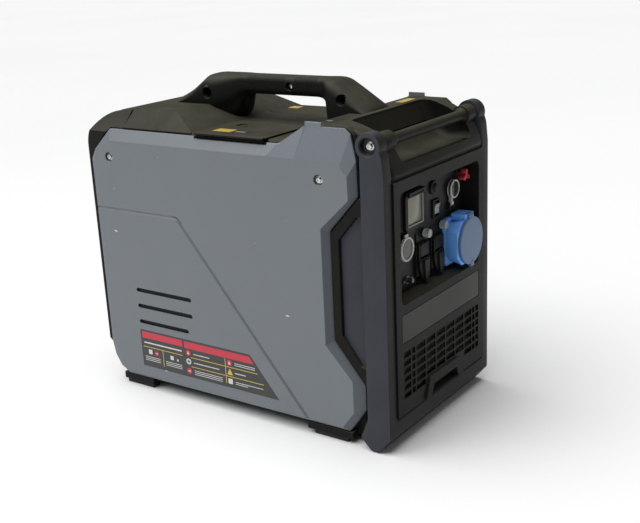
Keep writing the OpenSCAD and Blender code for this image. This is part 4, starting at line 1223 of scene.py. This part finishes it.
# The rim's pale tone is a painted highlight, where the edge of the screen's cover catches the light.
moulded_plastic("window_edge", srgb(104, 104, 96), 0.3, srgb(120, 120, 112), dust=0.1, depth=0.00003)
make_piece(cut(outer, inner), "lcd_window_rim", "control_black", "case", [], finish="window_edge")
print("display window", [round(v) for v in window_size])

# %% [markdown]
# ### Start button and rocker
# The button is a dome in a ring, and both are turned. The rocker is a wedge, higher at its upper
# end, in a frame that leaves it room to tip.

# %% Start button and rocker
x, z = middle_of("start_button")
ring = lathe("Y", x, z, [(12, PAN), (12, FASCIA - 3), (10.6, FASCIA - 4.5), (8, FASCIA - 4.5), (8, PAN)],
             closed=True)
make_piece(ring, "start_ring_turned", "control_black", "case", ["start_button_ring"], sharp=40)
dome = lathe("Y", x, z, [(0, PAN), (7.4, PAN), (7.4, FASCIA - 3.5), (6.6, FASCIA - 6),
                         (4.2, FASCIA - 7.8), (0, FASCIA - 8.6)])
make_piece(dome, "start_button_dome", "control_black", "start_button", ["start_button"], sharp=50)

x, z = middle_of("eco_switch_frame")
rim = cut(prism(rectangle(x, z, 25, 32), "Y", FASCIA - 4, PAN, round_by=2),
          prism(rectangle(x, z, 16.5, 26.5), "Y", FASCIA - 9, PAN + 3, round_by=1))
make_piece(round_edges(rim, 0.6, 2, sharp=40), "rocker_frame", "control_black", "case",
           ["eco_switch_frame"])
KEY_HALF = 8.6
key = prism([(FASCIA + 3, z - KEY_HALF), (FASCIA - 4.5, z - KEY_HALF), (FASCIA - 4, z),
             (FASCIA - 7, z + KEY_HALF), (FASCIA + 3, z + KEY_HALF)], "X", x - 7.3, x + 7.3)
make_piece(round_edges(key, 0.9, 3, sharp=20), "rocker_key", "rocker_grey", "eco_rocker", ["eco_rocker"])
print("start button and rocker made")

# %% [markdown]
# ### Breakers and fuel knob
# The two breakers wear clear ribbed boots, and a pusher under each boot reaches the breaker. The
# fuel knob has three lobes, so that it can be gripped with a glove on. Both outlines are a circle
# with waves on it, many small ones for the ribs and three large ones for the lobes.

# %% Breakers and fuel knob


def gear_outline(across, up, radius, wave, count, start=0.0):
    """A round outline with a given number of waves: a trefoil with three, fine ribs with many."""
    steps = count * 12
    return [(across + (radius + wave * math.cos(count * a)) * math.cos(a + start),
             up + (radius + wave * math.cos(count * a)) * math.sin(a + start))
            for a in (2 * math.pi * i / steps for i in range(steps))]


def in_front_of(depth):
    """Picks the edges that lie wholly in front of a depth, for round_edges."""
    return lambda edge: max(v.co.y for v in edge.verts) < depth * MM


collars = []
for side in ("left", "right"):
    x, z = middle_of("breaker_button_" + side)
    collars.append(lathe("Y", x, z, [(9, PAN), (9, FASCIA - 2.5), (8.6, FASCIA - 3.2), (8, FASCIA - 3.2),
                                     (8, PAN)], closed=True))
    boot = prism(gear_outline(x, z, 7.2, 0.35, 14), "Y", FASCIA - 14, FASCIA - 3)
    boot = round_edges(boot, 1.3, 3, sharp=60, keep=in_front_of(FASCIA - 13))
    pusher = drum("Y", x, z, FASCIA - 3.2, PAN + 8, 3.0, sides=32)
    make_piece(gather(boot, pusher), "breaker_boot_" + side, "breaker_boot", "breaker_button_" + side,
               ["breaker_button_" + side], sharp=50)
make_piece(gather(*collars), "breaker_collars", "control_black", "case", ["breaker_bodies"], sharp=40)

x, z = middle_of("fuel_knob_bezel")
bezel = lathe("Y", x, z, [(11.5, PAN), (11.5, FASCIA - 1.5), (10.5, FASCIA - 2.5), (5.5, FASCIA - 2.5),
                          (5.5, PAN)], closed=True)
make_piece(bezel, "knob_bezel", "control_black", "case", ["fuel_knob_bezel"], sharp=40)
wings = prism(gear_outline(x, z, 7.6, 4.2, 3, math.pi / 2), "Y", FASCIA - 18, FASCIA - 7)
wings = round_edges(wings, 1.6, 3, sharp=50)
stem = drum("Y", x, z, FASCIA - 8, PAN, 5, sides=32)
make_piece(fuse(wings, stem), "fuel_knob_wings", "red_plastic", "fuel_knob", ["fuel_knob"], sharp=40)
print("breakers and fuel knob made")

# %% [markdown]
# ### Flip guard and dust cap
# Both are clear mouldings, and what one sees of a clear moulding is its thick rim, which gathers the
# light. The rims are pieces of their own over the clear cup and the clear disc, and their pale milky
# finish is a painted highlight for that gathered light.

# %% Flip guard
# The milky rim finish is a painted highlight: pale rims stand for the light that clear rims gather.
clear_plastic("milky_rim", srgb(206, 208, 202), 0.25, 0.25)
clear_plastic("smoked_disc", srgb(96, 98, 92), 0.06, 0.75)
x, z = middle_of("switch_guard")[0], 384
FRONT, BACK = FASCIA - 9, FASCIA - 1
CUP = 16
GUARD_HINGE = (-287, 357)       # Y and Z of the guard's pin
cup = lathe("Y", x, z, [(CUP - 0.6, BACK), (CUP - 0.6, FRONT + 1), (0, FRONT + 1), (0, FRONT + 2.6),
                        (CUP - 2, FRONT + 2.6), (CUP - 2, BACK)])
make_piece(cup, "guard_cup", "clear_plastic", "switch_guard", ["switch_guard"], sharp=40,
           finish="smoked_disc")
rims = [lathe("Y", x, z, [(CUP, depth), (CUP, depth + 2.2), (CUP - 2.6, depth + 2.2), (CUP - 2.6, depth)],
              closed=True) for depth in (FRONT, FASCIA - 4)]
make_piece(gather(*rims), "guard_rims", "clear_plastic", "switch_guard", [], sharp=40,
           finish="milky_rim")
arm = prism([(FRONT + 1.5, z - 12), (FRONT + 1.5, z - 27), (FRONT + 4, z - 29.4), (BACK - 1, z - 29.4),
             (BACK - 1, z - 10), (FRONT + 5, z - 10)], "X", x - 11.5, x - 4)
knuckle = drum("X", *GUARD_HINGE, x - 12.4, x - 3.6, 3, sides=24)
make_piece(gather(round_edges(arm, 1, 3), knuckle), "guard_arm", "clear_plastic", "switch_guard", [],
           sharp=40, finish="breaker_boot")
screw = lathe("Y", x - 7.8, z - 23, [(0, FRONT + 0.5), (2.4, FRONT + 0.5), (3, FRONT + 1.2),
                                     (3, FRONT + 2.1), (0, FRONT + 2.1)])
make_piece(screw, "guard_screw", "zinc_steel", "switch_guard", [], sharp=40)
print("flip guard made")

# %% [markdown]
# The low-voltage socket is a turned ring with two ears for the hinge. Its cap is a smoked disc held
# in a rim whose pale milky finish is a painted highlight, and a strap ties the rim to the hinge.

# %% Low-voltage socket and dust cap
EAR_TOP = 345
socket = lathe("Y", *DC_MIDDLE, [(20, PAN), (20, FASCIA - 4.5), (19, FASCIA - 5.5), (11, FASCIA - 5.5),
                                 (11, PAN + 14), (14, PAN + 16), (16, PAN + 4)], closed=True)
ears = [block((DC_MIDDLE[0] + k - 1.5, FASCIA - 7, 334), (DC_MIDDLE[0] + k + 1.5, PAN, EAR_TOP))
        for k in (-7, 7)]
make_piece(gather(socket, *ears), "dc_socket_turned", "control_black", "case", ["dc_socket"], sharp=40)
disc = lathe("Y", *DC_MIDDLE, [(0, FASCIA - 6), (18, FASCIA - 6), (18, FASCIA - 8), (0, FASCIA - 8.6)])
make_piece(disc, "dust_cap_disc", "clear_plastic", "dc_cap", ["dc_cap"], sharp=40, finish="smoked_disc")
rim = lathe("Y", *DC_MIDDLE, [(20.5, FASCIA - 5.8), (20.5, FASCIA - 9), (19.6, FASCIA - 10),
                              (17.6, FASCIA - 10), (16.8, FASCIA - 9), (16.8, FASCIA - 5.8)], closed=True)
strap = block((DC_MIDDLE[0] - 5, FASCIA - 8.5, DC_MIDDLE[1] + 19),
              (DC_MIDDLE[0] + 5, FASCIA - 5.8, EAR_TOP))
make_piece(gather(rim, round_edges(strap, 1, 2)), "dust_cap_rim", "clear_plastic", "dc_cap", [],
           sharp=40, finish="milky_rim")
print("low-voltage socket and dust cap made")

# %% [markdown]
# ### Mains sockets
# Each has a square rim with a round well and a fixed brow above it. The lid hangs below the brow
# like a pointed shield with a broad spine. It swings on an arm at its left edge, clear of the
# breaker beside it.

# %% Mains sockets
HINGE = (-276, 314)             # Y and Z of the hinge that both lids share
ARM_TOP = 316
SHIELD_TOP = 290
SHIELD = [(-16.5, 0), (-17.5, -8), (-15.5, -20), (-8.5, -34), (-4.5, -39.5), (4.5, -39.5), (8.5, -34),
          (15.5, -20), (17.5, -8), (16.5, 0)]
SPINE = [(-8, -2), (-8.5, -8), (-5, -39), (5, -39), (8.5, -8), (8, -2)]
ARM = [(FASCIA + 10.5, ARM_TOP), (FASCIA - 6, ARM_TOP), (FASCIA - 8.5, 313), (FASCIA - 8.5, 287),
       (FASCIA - 5.4, 287), (FASCIA - 5.4, 311.5), (FASCIA + 10.5, 311.5)]


def socket_front(x):
    """The square rim and the fixed brow of a socket, as two bmeshes."""
    rim = cut(prism(rectangle(x, 289, 41, 55), "Y", FASCIA - 5, PAN - 1, round_by=3),
              drum("Y", x, WELL_UP, FASCIA - 9, PAN + 4, WELL_RADIUS),
              block((x - 18.5, FASCIA - 9, 284), (x - 12, PAN + 4, 336)))
    brow = block((x - 11.5, FASCIA - 8.5, 293), (x + 17.5, FASCIA - 4, ARM_TOP))
    return round_edges(rim, 0.8, 2, sharp=50), round_edges(brow, 2, 3)


def socket_lid(x):
    """The pointed lid with its spine, its arm and its knuckle."""
    shield = prism([(x + k, SHIELD_TOP + h) for k, h in SHIELD], "Y", FASCIA - 10, FASCIA - 5.4)
    spine = prism([(x + k, SHIELD_TOP + h) for k, h in SPINE], "Y", FASCIA - 14, FASCIA - 7)
    shield = round_edges(shield, 2, 4, sharp=50, keep=in_front_of(FASCIA - 9.5))
    arm = round_edges(prism(ARM, "X", x - 17, x - 13.5), 0.8, 2)
    knuckle = drum("X", *HINGE, x - 17, x - 9, 2.4, sides=24)
    return gather(round_edges(fuse(shield, spine), 0.9, 3, sharp=60), arm, knuckle)


for side, (x, z) in zip(("left", "right"), sockets):
    rim, brow = socket_front(x)
    lid_node = "socket_%s_lid" % side
    make_piece(rim, "socket_rim_" + side, "control_black", "case", [], sharp=40)
    make_piece(brow, "socket_brow_" + side, "control_black", "case", [], sharp=40)
    make_piece(socket_lid(x), "socket_shield_" + side, "control_black", lid_node, [lid_node], sharp=35)
make_piece(copy_part("ground_terminal"), "ground_terminal_stud", SLOT_OF["ground_terminal"], "case",
           ["ground_terminal"], radius=0.5, finish="rotor_steel")
print("mains sockets and ground terminal made")

# %% [markdown]
# ### Industrial socket
# The big blue socket is eight-sided and widens towards its round lid, so its horn is a skin between
# two squares with their corners cut off. Inside are an insulating carrier and its contact pins.

# %% Industrial socket
low, high = box_mm("cee_socket")
lid_low, lid_high = box_mm("cee_lid")
lid_x, lid_z = (lid_low.x + lid_high.x) / 2, lid_low.z + (lid_high.x - lid_low.x) / 2
HORN_X = lid_x - 3.5


def cut_square(depth, half, corner):
    """The eight corners of a square with its corners cut off, as a ring for a loft."""
    turns = [(half - corner, half), (half, half - corner)]
    around = [(x * i, z * k) for i, k, flip in ((1, 1, 0), (1, -1, 1), (-1, -1, 0), (-1, 1, 1))
              for x, z in (turns[::-1] if flip else turns)]
    return [spot("Y", depth, HORN_X + x, lid_z + z) for x, z in around]


flange = prism(rectangle(CEE_MIDDLE[0] + 1, CEE_MIDDLE[1], high.x - low.x - 2, 84), "Y", FASCIA - 7, PAN,
               round_by=4)
horn = loft([cut_square(lid_high.y - 1.5, 39, 17), cut_square(FASCIA - 5, 33, 11)])
barrel = drum("Y", *CEE_MIDDLE, PAN - 8, low.y + 69, 28)
saddle = block((lid_x - 15, lid_high.y - 3, high.z - 13), (lid_x + 15, FASCIA - 5, high.z - 0.5))
bore = drum("Y", *CEE_MIDDLE, lid_low.y - 5, PAN + 10, 26.5)
slot_for_lid = block((lid_x - 9, lid_low.y - 3, high.z - 14), (lid_x + 9, lid_high.y + 4.5, high.z + 3))
screw_holes = [drum("Z", lid_x - 22 + k, lid_high.y + 12, lid_z + 24, lid_z + 50, 1.9, sides=24)
               for k in (0, 9)]
body = fuse(round_edges(flange, 1.2, 3, sharp=50), round_edges(horn, 1.2, 3, sharp=30), barrel,
            round_edges(saddle, 1.2, 3))
make_piece(cut(body, bore, slot_for_lid, *screw_holes), "cee_socket_body", "cee_blue", "case",
           ["cee_socket"])
print("industrial socket made")

# %% Carrier and pins
carrier = lathe("Y", *CEE_MIDDLE, [(0, PAN + 2), (24, PAN + 2), (24, PAN + 9), (0, PAN + 9)])
make_piece(round_edges(carrier, 0.8, 2), "cee_carrier", "inner_black", "case", [], sharp=35)
PIN_CIRCLE, PINS = 14, 3
pins = [drum("Y", CEE_MIDDLE[0] + PIN_CIRCLE * math.cos(a), CEE_MIDDLE[1] + PIN_CIRCLE * math.sin(a),
             PAN - 22, PAN + 4, 2.6, sides=24)
        for a in (math.pi / 2 + i * math.tau / PINS for i in range(PINS))]
make_piece(gather(*[round_edges(pin, 0.8, 2) for pin in pins]), "cee_pins", "machined_steel", "case", [],
           sharp=40)
print("pins:", PINS)

# %% [markdown]
# The lid is a turned disc with a finger tab below and a bridge above, which reaches the hinge.

# %% Lid of the industrial socket
CEE_HINGE = (-318, 340)         # Y and Z of the lid's pin
front, back = lid_low.y + 1.2, lid_high.y - 2
disc = lathe("Y", lid_x, lid_z, [(0, back), (40.5, back), (42, back - 1.2), (42, front + 1.2),
                                 (41, front + 0.2), (39, front), (0, front)], steps=96)
finger = block((lid_x - 6, front - 0.9, lid_z - 46), (lid_x + 6, back - 0.4, lid_z - 36))
bridge = block((lid_x - 8, front + 0.8, lid_z + 36), (lid_x + 8, back + 1, high.z - 3))
knuckle = drum("X", *CEE_HINGE, lid_x - 8.4, lid_x + 8.4, 3, sides=32)
lid = fuse(disc, round_edges(finger, 1.2, 3), round_edges(bridge, 1.2, 3), knuckle)
make_piece(lid, "cee_lid_disc", "cee_lid_blue", "cee_lid", ["cee_lid"], sharp=35)
print("lid made")

# %% [markdown]
# ## Printed films
# A generator carries safety decals. Each is a film laid in a shallow pocket, so that its edge does
# not stand proud, with the inks printed on it as thin raised patches. The inks are bars and plain
# signs only, as the words would be too small to read from here. The fuel lid and the deck have
# smaller stickers with a yellow half and a dark half.

# %% Inks
INKS = {"ink_ground": srgb(50, 52, 50), "ink_red": srgb(198, 44, 66),
        "ink_yellow": srgb(206, 180, 72), "ink_white": srgb(206, 208, 206)}
for ink, tone in INKS.items():
    moulded_plastic(ink, tone, 0.36, srgb(120, 120, 112), dust=0.12, scale=1600.0, depth=0.00002,
                    cloud=0.04)
print("inks:", list(INKS))

# %% [markdown]
# The decal is laid out like a form: two red headers, thin yellow rules between the fields, and in
# each field a sign with rows of bars beside it. All places are along and up on the panel.

# %% Layout of the side decal
PRINT_STEP = 0.12       # height of the film, and of each ink on it
HEADERS = [[(225.5, 118.5), (125.5, 118.5), (125.5, 106), (225.5, 106)],
           [(120.5, 118), (-31, 118), (-40, 105), (120.5, 105)]]
# Rules and bars: from, to, height on the panel, thickness. Upright rules: place, foot and top.
LINES = [(225, 127, 88.6, 1.2), (107, -47, 88.6, 1.2), (107, -60, 70.6, 1.2)]
UPRIGHTS = [(176, 56, 88), (25, 56, 104)]
TEXT = ([(222, 128, 97, 2.6)] + [(222, 184, z, 1.1) for z in (69, 65.5, 62)]
        + [(170, 130, z, 1.1) for z in (68, 64.5, 61)] + [(100, 62, 96, 1.6), (100, 40, 79, 1.6)]
        + [(100, 34, z, 1.1) for z in (64, 60.5, 57)] + [(4, -42, z, 1.2) for z in (98, 94.5)]
        + [(4, -20, 79, 1.6), (4, -58, 62, 1.2), (4, -24, 58.5, 1.2)])
# Signs: place and size.
DISCS = [(112.5, 96.7, 5.6), (15.5, 96.7, 5.6), (112.5, 61, 5.6), (192, 79, 4.6)]
RING = (112.5, 79.8, 5.8)
TRIANGLE = [(9, 74), (15.5, 86), (22, 74)]
SQUARES = [(15.5, 61.5, 10), (208, 79.5, 9), (154, 78, 8), (140, 76, 4)]
print("fields of the decal:", len(HEADERS), "headers,", len(TEXT), "bars")

# %% Side decal


def film(outline, level, layers=1, round_by=0):
    """A thin patch on the left panel, counted in printed layers up from the pocket's floor."""
    floor_x = box_mm("left_panel")[0].x + DECAL_POCKET
    return prism(outline, "X", floor_x - (level + layers) * PRINT_STEP, floor_x - level * PRINT_STEP,
                 round_by=round_by)


def bar_outline(start, end, up, thick):
    """The outline of a rule or of a bar that stands for words."""
    return rectangle((start + end) / 2, up, start - end, thick)


def round_outline(across, up, radius):
    """A circle as an outline."""
    return [(across + radius * math.cos(a), up + radius * math.sin(a))
            for a in (math.pi * i / 12 for i in range(24))]


ground = film([(y - 0.3 * (1 if y > 0 else -1), z) for y, z in DECAL], 0, round_by=3)
reds = [film(outline, 1) for outline in HEADERS]
reds += [film(round_outline(*disc), 1) for disc in DISCS]
yellows = [film(bar_outline(*line), 1) for line in LINES]
yellows += [film(rectangle(y, (foot + top) / 2, 1.2, top - foot), 1) for y, foot, top in UPRIGHTS]
yellows.append(film(TRIANGLE, 1))
whites = [film(bar_outline(*line), 1) for line in TEXT]
whites += [film(rectangle(y, z, side, side), 1, round_by=1) for y, z, side in SQUARES]
whites.append(cut(film(round_outline(*RING), 1), film(rectangle(*RING[:2], 2.4, 7), 1, 3),
                  film(rectangle(*RING[:2], 7, 2), 1, 3)))
whites += [film([(y - 2.6, z - 2.6), (y, z + 3.4), (y + 2.6, z - 2.6)], 2) for y, z, r in DISCS[:2]]
whites += [film(rectangle(y, z, r * 1.1, 1.6), 2) for y, z, r in DISCS[2:]]
for name, mesh in (("ground", ground), ("red", gather(*reds)), ("yellow", gather(*yellows)),
                   ("white", gather(*whites))):
    make_piece(mesh, "side_decal_" + name, "label_film", "case", [], finish="ink_" + name)
print("side decal made")

# %% [markdown]
# The stickers on top are made by one loop over a table. A sticker is a dark ground, a yellow patch
# over part or all of it, and two thin bars.

# %% Stickers on the lid, the deck and the ridge
# Each: its body, the corner nearest the camera, the far corner, the height of the surface and how
# much of its length is yellow.
ridge_top = box_mm("top_cover")[0].z + CROWN_UP
deck_top = box_mm("top_cover")[0].z + DECK_UP
lid_top = box_mm("fuel_lid")[1].z
STICKERS = {
    "fuel_sticker": ("fuel_lid", (-142, -34), (-118, 44), lid_top, 0.49),
    "deck_sticker": ("case", (117, 53), (139, 83), deck_top, 1.0),
    "ridge_sticker": ("case", (84, -206), (131, -180), ridge_top, 1.0),
    "serial_sticker": ("case", (-129, -190), (-90, -170), ridge_top, 0.0),
}


def sticker_patch(low_corner, high_corner, height, level, round_by=0.6):
    """A thin patch on a level surface, counted in printed layers up from it."""
    centre = [(a + b) / 2 for a, b in zip(low_corner, high_corner)]
    size = [b - a for a, b in zip(low_corner, high_corner)]
    return prism(rectangle(*centre, *size), "Z", height + (level - 0.5) * PRINT_STEP,
                 height + (level + 0.7) * PRINT_STEP, round_by=round_by)


for name, (body, near, far, height, yellow) in STICKERS.items():
    split = far[1] - (far[1] - near[1]) * yellow
    ground = sticker_patch(near, far, height, 0)
    make_piece(ground, name + "_ground", "label_film", body, [], finish="ink_ground")
    if yellow:
        sun = sticker_patch((near[0] + 0.8, split), (far[0] - 0.8, far[1] - 0.8), height, 1)
        make_piece(sun, name + "_yellow", "label_film", body, [], finish="ink_yellow")
    middle_x = (near[0] + far[0]) / 2
    length = (split - near[1]) if yellow < 1 else (far[1] - near[1])
    bar_start, bar_end = near[1] + length * 0.3, near[1] + length * 0.8
    bars = [sticker_patch((middle_x + k - 0.5, bar_start), (middle_x + k + 0.5, bar_end), height, 2, 0.2)
            for k in (-5, -1)]
    make_piece(gather(*bars), name + "_print", "label_film", body, [], finish="ink_white")
print("stickers:", list(STICKERS))

# %% [markdown]
# ## Linings
# Behind the air slots and the front grille black pads close off the inside of the casing. Without
# them one could look right through the set.

# %% Linings
low, high = box_mm("left_panel")
for name, side in (("slot_foam_left", 1), ("slot_foam_right", -1)):
    start, end = sorted((side * (high.x - 1), side * (low.x + WALL + 0.2)))
    pad = block((start, low.y + 330, low.z + 95), (end, low.y + 515, low.z + 195))
    make_piece(round_edges(pad, 3, 2), name, "inner_black", "case", [])
low, high = box_mm("front_panel")
pad = block((low.x + 5, high.y - 14, low.z + 22), (high.x - 5, high.y - 6, low.z + 112))
make_piece(round_edges(pad, 2, 2), "grille_pad", "inner_black", "case", [])
print("linings made")

# %% [markdown]
# ## Parts that keep their engineered shape
# These are already shaped as the real ones. A copy of each is welded, freed of its triangles and
# given the radii that its mould would have.

# %% Softened parts
SOFT_RADII = {
    "base_tray": 1.5, "rubber_feet": 2, "front_panel": 0.45, "control_pan": 0.8, "label_plate": 0.3,
    "rear_cover": 0.8, "engine_switch": 0.4, "indicator_lamps": 0.8, "socket_left": 0.6,
    "socket_right": 0.6, "exhaust_outlet": 0.6, "left_insert": 1.5, "right_insert": 1.5,
}
softened = {node: make_piece(copy_part(node), node + "_moulded", SLOT_OF[node], BODY_OF[node], [node],
                             radius) for node, radius in SOFT_RADII.items()}
print("softened", len(softened), "parts")

# %% [markdown]
# The inserts in the notches of the side panels are black, but the flat floor of their recess has
# the slate tone of the bumper frame. A second material slot on the same piece does that.

# %% Two tones on the inserts
RECESS = 7
for node in ("left_insert", "right_insert"):
    insert = softened[node].data
    insert.materials.append(FINISH["slate_plastic"])
    floor_depth = max(abs(face.center.x) for face in insert.polygons) - RECESS * MM
    for face in insert.polygons:
        if abs(face.normal.x) > 0.9 and abs(abs(face.center.x) - floor_depth) < 1 * MM:
            face.material_index = 1
print("slate faces:", sum(face.material_index for face in insert.polygons))
